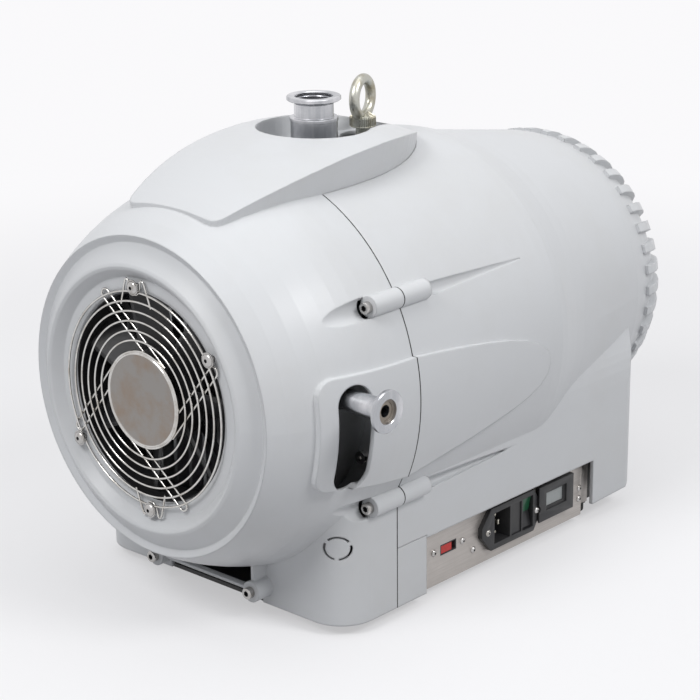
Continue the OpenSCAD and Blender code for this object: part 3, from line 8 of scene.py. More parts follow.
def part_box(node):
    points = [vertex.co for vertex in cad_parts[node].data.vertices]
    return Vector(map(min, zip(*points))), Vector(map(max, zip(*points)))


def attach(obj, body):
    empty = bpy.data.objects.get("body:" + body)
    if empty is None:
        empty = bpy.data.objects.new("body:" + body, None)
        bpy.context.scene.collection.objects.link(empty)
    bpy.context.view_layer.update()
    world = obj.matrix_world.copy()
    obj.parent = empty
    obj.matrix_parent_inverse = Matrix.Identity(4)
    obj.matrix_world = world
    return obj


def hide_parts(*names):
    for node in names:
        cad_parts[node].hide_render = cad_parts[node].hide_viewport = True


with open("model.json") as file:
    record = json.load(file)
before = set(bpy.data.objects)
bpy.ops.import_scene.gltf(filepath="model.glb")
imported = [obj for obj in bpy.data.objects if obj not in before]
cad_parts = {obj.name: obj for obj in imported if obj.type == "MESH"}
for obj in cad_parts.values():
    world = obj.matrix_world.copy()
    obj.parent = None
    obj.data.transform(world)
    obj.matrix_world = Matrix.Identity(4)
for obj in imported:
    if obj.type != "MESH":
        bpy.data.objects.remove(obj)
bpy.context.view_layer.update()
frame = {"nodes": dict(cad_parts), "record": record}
nodes = frame["nodes"]
mm = 0.001  # the dictionaries of the pieces hold millimetres
axisZ = 170  # height of the pump's long axis
print("frame loaded:", len(nodes), "nodes")


# Camera: the photograph's own view of the pump
cameraSet = {
    "place": (1.0456, -1.1721, 0.6630),
    "target": (-0.2301, 0.2281, 0.0408),
    "roll": -0.6,
    "lens": 109.39,
    "sensor": 36.0,
}


def addCamera(values):
    camera = bpy.data.cameras.new("photoCamera")
    camera.lens = values["lens"]
    camera.sensor_width = values["sensor"]
    camera.clip_end = 30
    holder = bpy.data.objects.new("photoCamera", camera)
    bpy.context.scene.collection.objects.link(holder)
    forward = (Vector(values["target"]) - Vector(values["place"])).normalized()
    right = forward.cross(Vector((0, 0, 1))).normalized()
    up = right.cross(forward)
    turn = math.radians(values["roll"])
    tilted = right * math.cos(turn) + up * math.sin(turn)
    upright = up * math.cos(turn) - right * math.sin(turn)
    matrix = Matrix((tilted, upright, -forward)).transposed().to_4x4()
    matrix.translation = Vector(values["place"])
    holder.matrix_world = matrix
    bpy.context.scene.camera = holder


addCamera(cameraSet)
bpy.context.scene.view_settings.view_transform = "Standard"
print("camera set")


# Node helpers shared by the studio and the materials
def addNode(tree, kind, place, **values):
    node = tree.nodes.new(kind)
    node.location = place
    for name, value in values.items():
        setattr(node, name, value)
    return node


def setInputs(node, **values):
    for name, value in values.items():
        node.inputs[name.replace("_", " ")].default_value = value
    return node


# Studio: pale floor, soft sky and three soft boxes
studioSet = {
    "floor": (0.82, 0.82, 0.83),
    "bounce": (0.46, 0.46, 0.47),  # what the floor throws back on the pump
    "floorSize": 24.0,
    "floorRoughness": 0.7,
    "floorGloss": 0.1,
    "backdrop": (0.955, 0.95, 0.965),
    "lift": 0.5,  # how much of the seen floor is the pale backdrop near the pump
    "liftReach": (0.45, 1.25),  # from here to there the floor runs out into the backdrop
    "sky": (0.95, 0.97, 1.0),
    "skyStrength": 0.4,
    "aim": (0.05, -0.03, 0.2),
    "boxes": {
        "topBox": {"place": (0.1, 0.1, 2.1), "size": 1.7, "power": 9.5},
        "frontBox": {"place": (0, -1.45, 1.6), "size": 0.8, "power": 16},
        "rightBox": {"place": (1.6, 0.2, 1.7), "size": 0.7, "power": 18},
    },
}


# What the camera, a mirror or glass sees of the surroundings is the pale backdrop.
# The light on the pump comes from the sky and the soft boxes.
def paleMask(tree):
    path = addNode(tree, "ShaderNodeLightPath", (-900, 300))
    first = addNode(tree, "ShaderNodeMath", (-700, 300), operation="MAXIMUM")
    second = addNode(tree, "ShaderNodeMath", (-520, 300), operation="MAXIMUM")
    tree.links.new(path.outputs["Is Camera Ray"], first.inputs[0])
    tree.links.new(path.outputs["Is Transmission Ray"], first.inputs[1])
    tree.links.new(first.outputs[0], second.inputs[0])
    tree.links.new(path.outputs["Is Glossy Ray"], second.inputs[1])
    return second.outputs[0]


def setSky(values):
    world = bpy.data.worlds.new("studioSky")
    bpy.context.scene.world = world
    world.use_nodes = True
    tree = world.node_tree
    tree.nodes.clear()
    mask = paleMask(tree)
    sky = setInputs(addNode(tree, "ShaderNodeBackground", (-300, 100)),
                    Color=(*values["sky"], 1), Strength=values["skyStrength"])
    seen = setInputs(addNode(tree, "ShaderNodeBackground", (-300, -60)),
                     Color=(*values["backdrop"], 1), Strength=1.0)
    mix = addNode(tree, "ShaderNodeMixShader", (0, 100))
    output = addNode(tree, "ShaderNodeOutputWorld", (220, 100))
    tree.links.new(mask, mix.inputs[0])
    tree.links.new(sky.outputs[0], mix.inputs[1])
    tree.links.new(seen.outputs[0], mix.inputs[2])
    tree.links.new(mix.outputs[0], output.inputs[0])


def addFloor(values):
    bpy.ops.object.select_all(action="DESELECT")
    bpy.ops.mesh.primitive_plane_add(size=values["floorSize"])
    floor = bpy.context.object
    floor.name = "studioFloor"
    material = bpy.data.materials.new("studioFloor")
    material.use_nodes = True
    tree = material.node_tree
    mask = paleMask(tree)
    body = tree.nodes["Principled BSDF"]
    body.inputs["Roughness"].default_value = values["floorRoughness"]
    body.inputs["Specular IOR Level"].default_value = values["floorGloss"]
    colour = addNode(tree, "ShaderNodeMix", (-300, 60), data_type="RGBA")
    setInputs(colour, A=(*values["bounce"], 1), B=(*values["floor"], 1))
    pale = setInputs(addNode(tree, "ShaderNodeEmission", (0, -300)),
                     Color=(*values["backdrop"], 1), Strength=1.0)
    place = addNode(tree, "ShaderNodeTexCoord", (-900, -100))
    away = addNode(tree, "ShaderNodeVectorMath", (-700, -100), operation="LENGTH")
    reach = setInputs(addNode(tree, "ShaderNodeMapRange", (-500, -100), interpolation_type="SMOOTHSTEP"),
                      From_Min=values["liftReach"][0], From_Max=values["liftReach"][1],
                      To_Min=values["lift"])
    share = addNode(tree, "ShaderNodeMath", (-300, 300), operation="MULTIPLY")
    mix = addNode(tree, "ShaderNodeMixShader", (300, 100))
    tree.links.new(mask, colour.inputs["Factor"])
    tree.links.new(colour.outputs["Result"], body.inputs["Base Color"])
    tree.links.new(place.outputs["Object"], away.inputs[0])
    tree.links.new(away.outputs["Value"], reach.inputs["Value"])
    tree.links.new(mask, share.inputs[0])
    tree.links.new(reach.outputs["Result"], share.inputs[1])
    tree.links.new(share.outputs[0], mix.inputs[0])
    tree.links.new(body.outputs[0], mix.inputs[1])
    tree.links.new(pale.outputs[0], mix.inputs[2])
    tree.links.new(mix.outputs[0], tree.nodes["Material Output"].inputs[0])
    floor.data.materials.append(material)


def addBoxes(values):
    for name, box in values["boxes"].items():
        lamp = bpy.data.lights.new(name, "AREA")
        lamp.shape = "DISK"
        lamp.size = box["size"]
        lamp.energy = box["power"]
        holder = bpy.data.objects.new(name, lamp)
        bpy.context.scene.collection.objects.link(holder)
        holder.location = box["place"]
        aim = Vector(values["aim"]) - Vector(box["place"])
        holder.rotation_euler = aim.to_track_quat("-Z", "Y").to_euler()


setSky(studioSet)
addFloor(studioSet)
addBoxes(studioSet)
print("studio set")


# Shader groups, with the settings of their noises
groupSet = {
    "skin": {"Detail": 3.0, "Roughness": 0.6},
    "slowSkin": {"Scale": 14.0, "Detail": 4.0, "Roughness": 0.6},
    "stain": {"Detail": 6.0, "Roughness": 0.65},
    "streaks": {"Detail": 4.0, "Roughness": 0.7},
    "streakReach": {"From_Min": 0.42, "From_Max": 0.62},
}


def newGroup(name, inputs, outputs):
    group = bpy.data.node_groups.new(name, "ShaderNodeTree")
    for label, kind, value in inputs:
        socket = group.interface.new_socket(label, in_out="INPUT", socket_type=kind)
        socket.default_value = value
    for label, kind in outputs:
        group.interface.new_socket(label, in_out="OUTPUT", socket_type=kind)
    start = addNode(group, "NodeGroupInput", (-900, 0))
    end = addNode(group, "NodeGroupOutput", (900, 0))
    return group, start, end


# Fine moulded or cast skin: a height and a slow change of roughness
def makeSkinGroup(values):
    group, start, end = newGroup(
        "mouldedSkin",
        [("Grain Scale", "NodeSocketFloat", 900.0), ("Roughness", "NodeSocketFloat", 0.5),
         ("Roughness Spread", "NodeSocketFloat", 0.06)],
        [("Height", "NodeSocketFloat"), ("Roughness", "NodeSocketFloat")])
    place = addNode(group, "ShaderNodeTexCoord", (-900, 300))
    fine = addNode(group, "ShaderNodeTexNoise", (-500, 200))
    setInputs(fine, **values["skin"])
    slow = addNode(group, "ShaderNodeTexNoise", (-500, -100))
    setInputs(slow, **values["slowSkin"])
    centred = addNode(group, "ShaderNodeMath", (-250, -100), operation="SUBTRACT")
    centred.inputs[1].default_value = 0.5
    spread = addNode(group, "ShaderNodeMath", (0, -100), operation="MULTIPLY_ADD")
    group.links.new(place.outputs["Object"], fine.inputs["Vector"])
    group.links.new(place.outputs["Object"], slow.inputs["Vector"])
    group.links.new(start.outputs["Grain Scale"], fine.inputs["Scale"])
    group.links.new(slow.outputs[0], centred.inputs[0])
    group.links.new(centred.outputs[0], spread.inputs[0])
    group.links.new(start.outputs["Roughness Spread"], spread.inputs[1])
    group.links.new(start.outputs["Roughness"], spread.inputs[2])
    group.links.new(fine.outputs[0], end.inputs["Height"])
    group.links.new(spread.outputs[0], end.inputs["Roughness"])
    return group


# Blotches of handling, dust or old plating that shift one colour towards another
def makeStainGroup(values):
    group, start, end = newGroup(
        "agedStain",
        [("Clean", "NodeSocketColor", (0.5, 0.5, 0.5, 1)),
         ("Stained", "NodeSocketColor", (0.4, 0.35, 0.3, 1)), ("Scale", "NodeSocketFloat", 30.0),
         ("From", "NodeSocketFloat", 0.45), ("To", "NodeSocketFloat", 0.75)],
        [("Color", "NodeSocketColor")])
    place = addNode(group, "ShaderNodeTexCoord", (-900, 300))
    cloud = addNode(group, "ShaderNodeTexNoise", (-600, 200))
    setInputs(cloud, **values["stain"])
    reach = addNode(group, "ShaderNodeMapRange", (-300, 200))
    mix = addNode(group, "ShaderNodeMix", (200, 100), data_type="RGBA")
    group.links.new(place.outputs["Object"], cloud.inputs["Vector"])
    group.links.new(start.outputs["Scale"], cloud.inputs["Scale"])
    group.links.new(cloud.outputs[0], reach.inputs["Value"])
    group.links.new(start.outputs["From"], reach.inputs["From Min"])
    group.links.new(start.outputs["To"], reach.inputs["From Max"])
    group.links.new(reach.outputs["Result"], mix.inputs["Factor"])
    group.links.new(start.outputs["Clean"], mix.inputs["A"])
    group.links.new(start.outputs["Stained"], mix.inputs["B"])
    group.links.new(mix.outputs["Result"], end.inputs["Color"])
    return group


# Fine machining or brushing lines, drawn out along one axis of the object
def makeStreakGroup(values):
    group, start, end = newGroup(
        "machinedStreaks",
        [("Stretch", "NodeSocketVector", (1, 1, 40)), ("Scale", "NodeSocketFloat", 60.0)],
        [("Height", "NodeSocketFloat"), ("Mask", "NodeSocketFloat")])
    place = addNode(group, "ShaderNodeTexCoord", (-900, 300))
    stretch = addNode(group, "ShaderNodeVectorMath", (-600, 200), operation="MULTIPLY")
    lines = addNode(group, "ShaderNodeTexNoise", (-300, 200))
    setInputs(lines, **values["streaks"])
    group.links.new(place.outputs["Object"], stretch.inputs[0])
    group.links.new(start.outputs["Stretch"], stretch.inputs[1])
    group.links.new(stretch.outputs[0], lines.inputs["Vector"])
    group.links.new(start.outputs["Scale"], lines.inputs["Scale"])
    group.links.new(lines.outputs[0], end.inputs["Height"])
    reach = addNode(group, "ShaderNodeMapRange", (0, 100))
    setInputs(reach, **values["streakReach"])
    group.links.new(lines.outputs[0], reach.inputs["Value"])
    group.links.new(reach.outputs["Result"], end.inputs["Mask"])
    return group


# Shadow in the joint between two mouldings: a band across the object's length, up to a height
def makeSeamGroup():
    group, start, end = newGroup(
        "seamShadow",
        [("Place", "NodeSocketFloat", 0.0), ("Width", "NodeSocketFloat", 0.0005),
         ("Top", "NodeSocketFloat", 1.0)],
        [("Mask", "NodeSocketFloat")])
    place = addNode(group, "ShaderNodeTexCoord", (-900, 300))
    split = addNode(group, "ShaderNodeSeparateXYZ", (-700, 300))
    away = addNode(group, "ShaderNodeMath", (-500, 300), operation="SUBTRACT")
    size = addNode(group, "ShaderNodeMath", (-300, 300), operation="ABSOLUTE")
    near = addNode(group, "ShaderNodeMath", (-100, 300), operation="LESS_THAN")
    group.links.new(place.outputs["Object"], split.inputs[0])
    group.links.new(split.outputs["Y"], away.inputs[0])
    group.links.new(start.outputs["Place"], away.inputs[1])
    group.links.new(away.outputs[0], size.inputs[0])
    group.links.new(size.outputs[0], near.inputs[0])
    group.links.new(start.outputs["Width"], near.inputs[1])
    below = addNode(group, "ShaderNodeMath", (-100, 100), operation="LESS_THAN")
    both = addNode(group, "ShaderNodeMath", (100, 300), operation="MULTIPLY")
    group.links.new(split.outputs["Z"], below.inputs[0])
    group.links.new(start.outputs["Top"], below.inputs[1])
    group.links.new(near.outputs[0], both.inputs[0])
    group.links.new(below.outputs[0], both.inputs[1])
    group.links.new(both.outputs[0], end.inputs["Mask"])
    return group


seamGroup = makeSeamGroup()
skinGroup = makeSkinGroup(groupSet)
stainGroup = makeStainGroup(groupSet)
streakGroup = makeStreakGroup(groupSet)
print("shader groups made")


# Finishes: one entry for each material slot of the record, and one for the inside of a worn port
finishSet = {
    "cowling_plastic": {"clean": (0.63, 0.64, 0.655), "stained": (0.6, 0.605, 0.61), "stainScale": 9,
                        "roughness": 0.34, "gloss": 0.3, "grain": 1500, "depth": 0.02, "edge": 1.8,
                        "seam": -117, "seamTop": 303},
    "black_plastic": {"clean": (0.018, 0.018, 0.02), "stained": (0.035, 0.034, 0.033), "stainScale": 40,
                      "roughness": 0.42, "grain": 1200, "depth": 0.05},
    "guard_chrome": {"clean": (0.62, 0.61, 0.59), "stained": (0.4, 0.37, 0.33), "stainScale": 90,
                     "roughness": 0.12, "metal": 1, "grain": 500, "depth": 0.05},
    "worn_bore": {"clean": (0.3, 0.265, 0.225), "stained": (0.2, 0.17, 0.14), "stainScale": 120,
                  "roughness": 0.5, "metal": 0.6, "grain": 900, "depth": 0.05},
    "disc_steel": {"clean": (0.29, 0.275, 0.26), "stained": (0.27, 0.19, 0.13), "stainScale": 30,
                   "roughness": 0.38, "metal": 1, "grain": 900, "depth": 0.08},
    "screw_steel": {"clean": (0.5, 0.49, 0.48), "stained": (0.3, 0.28, 0.25), "stainScale": 150,
                    "roughness": 0.24, "metal": 1, "grain": 700, "depth": 0.05},
    "port_steel": {"clean": (0.66, 0.66, 0.68), "stained": (0.44, 0.45, 0.47), "stainScale": 60,
                   "roughness": 0.24, "metal": 1, "grain": 600, "depth": 0.06,
                   "streaks": (0.9, 0.9, 0.05)},
    "eye_zinc": {"clean": (0.5, 0.5, 0.45), "stained": (0.27, 0.22, 0.12), "stainScale": 60,
                 "roughness": 0.34, "metal": 1, "grain": 420, "depth": 0.35},
    "panel_steel": {"clean": (0.52, 0.485, 0.46), "stained": (0.45, 0.42, 0.395), "stainScale": 26,
                    "roughness": 0.4, "metal": 0.6, "grain": 900, "depth": 0.03, "streaks": (1, 0.4, 30)},
    # near black: partly the base frame's own paint, partly painted shade for the inside of the case seen
    # through the front slit and past the sheet
    "base_steel": {"clean": (0.03, 0.03, 0.032), "stained": (0.05, 0.048, 0.045), "stainScale": 20,
                   "roughness": 0.5, "grain": 500, "depth": 0.1},
    "foot_rubber": {"clean": (0.02, 0.02, 0.02), "stained": (0.05, 0.05, 0.05), "stainScale": 60,
                    "roughness": 0.8, "grain": 700, "depth": 0.15},
    "cast_alloy": {"clean": (0.46, 0.47, 0.48), "stained": (0.33, 0.33, 0.33), "stainScale": 24,
                   "roughness": 0.5, "metal": 0.9, "grain": 260, "depth": 0.35},
    "seal_plastic": {"clean": (0.5, 0.42, 0.27), "stained": (0.4, 0.32, 0.2), "stainScale": 60,
                     "roughness": 0.6, "grain": 800, "depth": 0.05},
    "shaft_steel": {"clean": (0.5, 0.5, 0.52), "stained": (0.4, 0.39, 0.38), "stainScale": 60,
                    "roughness": 0.25, "metal": 1, "grain": 700, "depth": 0.04},
    "bearing_steel": {"clean": (0.65, 0.65, 0.67), "stained": (0.5, 0.5, 0.5), "stainScale": 80,
                      "roughness": 0.18, "metal": 1, "grain": 800, "depth": 0.03},
    "weight_iron": {"clean": (0.1, 0.1, 0.11), "stained": (0.16, 0.13, 0.1), "stainScale": 40,
                    "roughness": 0.6, "metal": 0.6, "grain": 300, "depth": 0.3},
    "motor_alloy": {"clean": (0.32, 0.35, 0.39), "stained": (0.24, 0.26, 0.28), "stainScale": 30,
                    "roughness": 0.5, "grain": 350, "depth": 0.3},
    "stator_steel": {"clean": (0.2, 0.22, 0.26), "stained": (0.14, 0.14, 0.16), "stainScale": 50,
                     "roughness": 0.45, "metal": 0.8, "grain": 300, "depth": 0.2, "streaks": (2, 90, 2)},
    "winding_copper": {"clean": (0.45, 0.17, 0.07), "stained": (0.3, 0.1, 0.04), "stainScale": 80,
                       "roughness": 0.35, "metal": 0.8, "grain": 400, "depth": 0.3},
    "capacitor_white": {"clean": (0.78, 0.78, 0.76), "stained": (0.65, 0.64, 0.6), "stainScale": 30,
                        "roughness": 0.35, "grain": 700, "depth": 0.03},
    "window_clear": {"clean": (0.34, 0.36, 0.36), "stained": (0.28, 0.3, 0.29), "stainScale": 90,
                     "roughness": 0.18, "grain": 700, "depth": 0.01},
    "rocker_green": {"clean": (0.012, 0.09, 0.04), "stained": (0.008, 0.05, 0.025), "stainScale": 120,
                     "roughness": 0.28, "grain": 700, "depth": 0.02},
    "selector_red": {"clean": (0.55, 0.02, 0.015), "stained": (0.42, 0.02, 0.012), "stainScale": 140,
                     "roughness": 0.35, "grain": 700, "depth": 0.02},
    "pin_brass": {"clean": (0.72, 0.69, 0.6), "stained": (0.55, 0.5, 0.38), "stainScale": 120,
                  "roughness": 0.25, "metal": 1, "grain": 700, "depth": 0.03},
}
bumpReach = 0.0005
roughnessSpread = 0.14
seamColour = (0.02, 0.02, 0.02)


def makeFinish(name, values):
    material = bpy.data.materials.new(name)
    material.use_nodes = True
    tree = material.node_tree
    body = tree.nodes["Principled BSDF"]
    body.inputs["Metallic"].default_value = values.get("metal", 0)
    body.inputs["Specular IOR Level"].default_value = values.get("gloss", 0.5)
    stain = addNode(tree, "ShaderNodeGroup", (-700, 200), node_tree=stainGroup)
    setInputs(stain, Clean=(*values["clean"], 1), Stained=(*values["stained"], 1),
              Scale=values["stainScale"])
    skin = addNode(tree, "ShaderNodeGroup", (-700, -100), node_tree=skinGroup)
    setInputs(skin, Grain_Scale=values["grain"], Roughness=values["roughness"],
              Roughness_Spread=roughnessSpread)
    bump = addNode(tree, "ShaderNodeBump", (-300, -250))
    setInputs(bump, Strength=values["depth"], Distance=bumpReach)
    tree.links.new(stain.outputs["Color"], body.inputs["Base Color"])
    tree.links.new(skin.outputs["Roughness"], body.inputs["Roughness"])
    tree.links.new(skin.outputs["Height"], bump.inputs["Height"])
    tree.links.new(bump.outputs["Normal"], body.inputs["Normal"])
    if "streaks" in values:
        lines = addNode(tree, "ShaderNodeGroup", (-1000, -350), node_tree=streakGroup)
        setInputs(lines, Stretch=values["streaks"])
        tree.links.new(lines.outputs["Height"], bump.inputs["Height"])
        tint = addNode(tree, "ShaderNodeMix", (-250, 250), data_type="RGBA")
        setInputs(tint, B=(*values["stained"], 1))
        tree.links.new(lines.outputs["Mask"], tint.inputs["Factor"])
        tree.links.new(stain.outputs["Color"], tint.inputs["A"])
        tree.links.new(tint.outputs["Result"], body.inputs["Base Color"])
    if "edge" in values:
        soft = addNode(tree, "ShaderNodeBevel", (-550, -400), samples=6)
        soft.inputs["Radius"].default_value = values["edge"] * mm
        tree.links.new(soft.outputs["Normal"], bump.inputs["Normal"])
    if "seam" in values:
        gap = addNode(tree, "ShaderNodeGroup", (-700, 450), node_tree=seamGroup)
        setInputs(gap, Place=values["seam"] * mm, Top=values["seamTop"] * mm)
        dark = addNode(tree, "ShaderNodeMix", (-250, 350), data_type="RGBA")
        setInputs(dark, B=(*seamColour, 1))
        tree.links.new(gap.outputs["Mask"], dark.inputs["Factor"])
        tree.links.new(stain.outputs["Color"], dark.inputs["A"])
        tree.links.new(dark.outputs["Result"], body.inputs["Base Color"])
    return material


finishes = {name: makeFinish(name, values) for name, values in finishSet.items()}
for subpart in frame["record"]["subparts"]:
    mesh = nodes[subpart["node"]].data
    mesh.materials.clear()
    mesh.materials.append(finishes[subpart["material_slot"]])
print("finishes made:", len(finishes))


# Modelling helpers
turnings = {"x": (0, math.pi / 2, 0), "y": (-math.pi / 2, 0, 0), "z": (0, 0, 0)}
ways = {"x": Vector((1, 0, 0)), "y": Vector((0, 1, 0)), "z": Vector((0, 0, 1))}


def pickOnly(piece):
    bpy.ops.object.select_all(action="DESELECT")
    piece.select_set(True)
    bpy.context.view_layer.objects.active = piece


def faceOutward(piece):
    pickOnly(piece)
    bpy.ops.object.mode_set(mode="EDIT")
    bpy.ops.mesh.select_all(action="SELECT")
    bpy.ops.mesh.normals_make_consistent(inside=False)
    bpy.ops.object.mode_set(mode="OBJECT")


def roundEdges(piece, width, segments=2, angle=30):
    pickOnly(piece)
    bevel = piece.modifiers.new("roundEdges", "BEVEL")
    bevel.width = width * mm
    bevel.segments = segments
    bevel.limit_method = "ANGLE"
    bevel.angle_limit = math.radians(angle)
    bpy.ops.object.modifier_apply(modifier=bevel.name)


def smoothSides(piece, angle=35):
    pickOnly(piece)
    bpy.ops.object.shade_smooth_by_angle(angle=math.radians(angle))


# A turned part: a round plate at the first ring, and each next ring extruded along the axis and resized
def turnPiece(name, axis, centre, rings, sides):
    bpy.ops.object.select_all(action="DESELECT")
    way = ways[axis]
    at, radius = rings[0]
    bpy.ops.mesh.primitive_circle_add(vertices=sides, radius=radius * mm, fill_type="NGON",
                                      location=(Vector(centre) + way * at) * mm, rotation=turnings[axis])
    piece = bpy.context.object
    piece.name = name
    bpy.ops.object.mode_set(mode="EDIT")
    bpy.ops.mesh.select_all(action="SELECT")
    for nextAt, nextRadius in rings[1:]:
        bpy.ops.mesh.extrude_region_move(TRANSFORM_OT_translate={"value": way * (nextAt - at) * mm})
        size = nextRadius / radius
        bpy.ops.transform.resize(value=(size, size, size),
                                 center_override=(Vector(centre) + way * nextAt) * mm)
        at, radius = nextAt, nextRadius
    bpy.ops.object.mode_set(mode="OBJECT")
    bpy.ops.object.transform_apply(location=True, rotation=True, scale=True)
    faceOutward(piece)
    return piece


# A closed ring of round wire, with so many sides round it and round its section
def addRing(radius, section, place, rotation, sides):
    bpy.ops.object.select_all(action="DESELECT")
    bpy.ops.mesh.primitive_torus_add(major_radius=radius * mm, minor_radius=section * mm,
                                     major_segments=sides[0], minor_segments=sides[1],
                                     location=Vector(place) * mm, rotation=rotation)
    bpy.ops.object.transform_apply(location=True, rotation=True, scale=True)
    return bpy.context.object


def addBlock(name, low, high, rounding):
    bpy.ops.object.select_all(action="DESELECT")
    middle = (Vector(low) + Vector(high)) / 2 * mm
    bpy.ops.mesh.primitive_cube_add(size=1, location=middle, scale=(Vector(high) - Vector(low)) * mm)
    piece = bpy.context.object
    piece.name = name
    bpy.ops.object.transform_apply(location=True, rotation=True, scale=True)
    roundEdges(piece, rounding)
    return piece


def combine(piece, tool, operation="DIFFERENCE"):
    pickOnly(piece)
    joint = piece.modifiers.new("combine", "BOOLEAN")
    joint.operation = operation
    joint.solver = "MANIFOLD"
    joint.object = tool
    bpy.ops.object.modifier_apply(modifier=joint.name)
    bpy.data.objects.remove(tool)


# Gives the piece two finishes, the second one on the faces whose centre, in millimetres, passes the test
def twoFinishes(piece, first, second, test):
    for slot in (first, second):
        piece.data.materials.append(finishes[slot])
    for face in piece.data.polygons:
        face.material_index = 1 if test(face.center / mm) else 0


# A recess for a key, cut into a head from its front, with its faces in the second finish, black plastic,
# as painted shade in the recess
keySides = 6
keyEdge = 0.05  # faces nearer to the front than this belong to the head
keyOver = 0.1


def cutHex(piece, axis, centre, at, depth, radius):
    front = Vector(centre) + ways[axis] * at
    bpy.ops.object.select_all(action="DESELECT")
    bpy.ops.mesh.primitive_cylinder_add(vertices=keySides, radius=radius * mm, depth=2 * depth * mm,
                                        location=front * mm, rotation=turnings[axis])
    tool = bpy.context.object
    bpy.ops.object.transform_apply(location=True, rotation=True, scale=True)
    combine(piece, tool)

    def inRecess(point):
        along = (point - front).dot(ways[axis])
        across = (point - front - ways[axis] * along).length
        return across < radius and keyEdge < abs(along) < depth + keyOver

    # black recess faces: painted shade
    twoFinishes(piece, "screw_steel", "black_plastic", inRecess)


def copyPiece(piece, move):
    pickOnly(piece)
    bpy.ops.object.duplicate()
    bpy.ops.transform.translate(value=Vector(move) * mm)
    bpy.ops.object.transform_apply(location=True, rotation=True, scale=True)
    return bpy.context.object


def joinPieces(name, pieces):
    pickOnly(pieces[0])
    for piece in pieces[1:]:
        piece.select_set(True)
    bpy.ops.object.join()
    pieces[0].name = name
    return pieces[0]


# Gives a finished piece its finish, its body and the node it stands for
def settle(piece, slot, replaced=(), body="frame", second=None):
    marks = [face.material_index for face in piece.data.polygons]
    piece.data.materials.clear()
    piece.data.materials.append(finishes[slot])
    if second:
        piece.data.materials.append(finishes[second])
        for face, mark in zip(piece.data.polygons, marks):
            face.material_index = mark
    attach(piece, body)
    if replaced:
        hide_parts(*replaced)


# Copies the first screw to each place and joins the copies to one piece, keeping the black painted shade
# of the key recess
def setScrews(first, places, name, nodeName):
    screws = [copyPiece(first, place) for place in places]
    bpy.data.objects.remove(first)
    settle(joinPieces(name, screws), "screw_steel", (nodeName,), second="black_plastic")


# The node's own shape, merged, with its sharp edges broken
mergeReach = 0.00002
flatAngle = 0.6
sharpAngle = 35


def breakEdges(nodeName, name, width, segments):
    source = nodes[nodeName]
    piece = bpy.data.objects.new(name, source.data.copy())
    bpy.context.scene.collection.objects.link(piece)
    pickOnly(piece)
    bpy.ops.object.mode_set(mode="EDIT")
    bpy.ops.mesh.select_all(action="SELECT")
    bpy.ops.mesh.remove_doubles(threshold=mergeReach)
    bpy.ops.mesh.dissolve_limited(angle_limit=math.radians(flatAngle))
    bpy.ops.object.mode_set(mode="OBJECT")
    bpy.ops.mesh.customdata_custom_splitnormals_clear()
    roundEdges(piece, width, segments, sharpAngle)
    smoothSides(piece)
    return piece


# Screws with a round head and a socket for a key
screwSet = {
    "bossY": -151.0, "chinY": -193.0,
    "bosses": ((128.008, 71.248), (127.997, -75.095)), "chin": (50.2, -148.3),
    "head": ((0, 3.5), (0.25, 4.05), (0.6, 4.3), (4.4, 4.3), (4.9, 4.0), (5, 2.5), (45, 2.5)),
    "key": 2.3, "keyDepth": 3, "sides": 40, "smooth": 24,
}


def makeCowlingScrews(values):
    first = turnPiece("cowlingScrew", "y", (0, 0, axisZ), values["head"], values["sides"])
    cutHex(first, "y", (0, 0, axisZ), 0, values["keyDepth"], values["key"])
    smoothSides(first, values["smooth"])
    places = [(side * x, values["bossY"], z) for side in (-1, 1) for x, z in values["bosses"]]
    chinX, chinZ = values["chin"]
    places += [(side * chinX, values["chinY"], chinZ) for side in (-1, 1)]
    setScrews(first, places, "cowlingScrewSet", "cowling_screws")


makeCowlingScrews(screwSet)

studSet = {
    "sheetX": 121.5, "bezelX": 125.5,
    "sheet": ((-68.7, 32.8), (-35.6, 32), (-23, 20.5), (110.5, 29.8), (110.2, 20.9)),
    "bezel": ((-10, 30.8), (50, 30.8)),
    "head": ((-6, 1.5), (0, 1.5), (0, 2.7), (0.35, 2.65), (0.85, 2.35), (1.3, 1.7), (1.5, 0.9)),
    "key": 0.95, "keyDepth": 1.1, "top": 1.5, "sides": 28,
}


def makePanelScrews(values):
    first = turnPiece("panelScrew", "x", (0, 0, 0), values["head"], values["sides"])
    cutHex(first, "x", (0, 0, 0), values["top"], values["keyDepth"], values["key"])
    smoothSides(first)
    places = [(values["sheetX"], y, z) for y, z in values["sheet"]]
    places += [(values["bezelX"], y, z) for y, z in values["bezel"]]
    setScrews(first, places, "panelScrewSet", "panel_screws")


makePanelScrews(studSet)

guardScrewSet = {
    "radius": 81, "angles": (93, 33, -87, -147), "back": -239.8,
    "head": ((-2.6, 1.6), (-2.45, 2.9), (-1.9, 4.1), (-1.2, 4.7), (-0.85, 4.75), (-0.8, 5.5), (-0.1, 5.5),
             (0, 5.3), (0, 1.9)),
    "key": 1.5, "keyDepth": 1.3, "top": -2.6, "shank": 1.9, "sides": 36,
}


def makeGuardScrews(values):
    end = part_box("guard_screws")[1][1] / mm - values["back"]
    rings = values["head"] + ((end, values["shank"]),)
    first = turnPiece("guardScrew", "y", (0, 0, 0), rings, values["sides"])
    cutHex(first, "y", (0, 0, 0), values["top"], values["keyDepth"], values["key"])
    smoothSides(first)
    places = []
    for angle in values["angles"]:
        across = values["radius"] * math.cos(math.radians(angle))
        up = values["radius"] * math.sin(math.radians(angle))
        places.append((across, values["back"], axisZ + up))
    setScrews(first, places, "guardScrewSet", "guard_screws")


makeGuardScrews(guardScrewSet)
print("screws made")

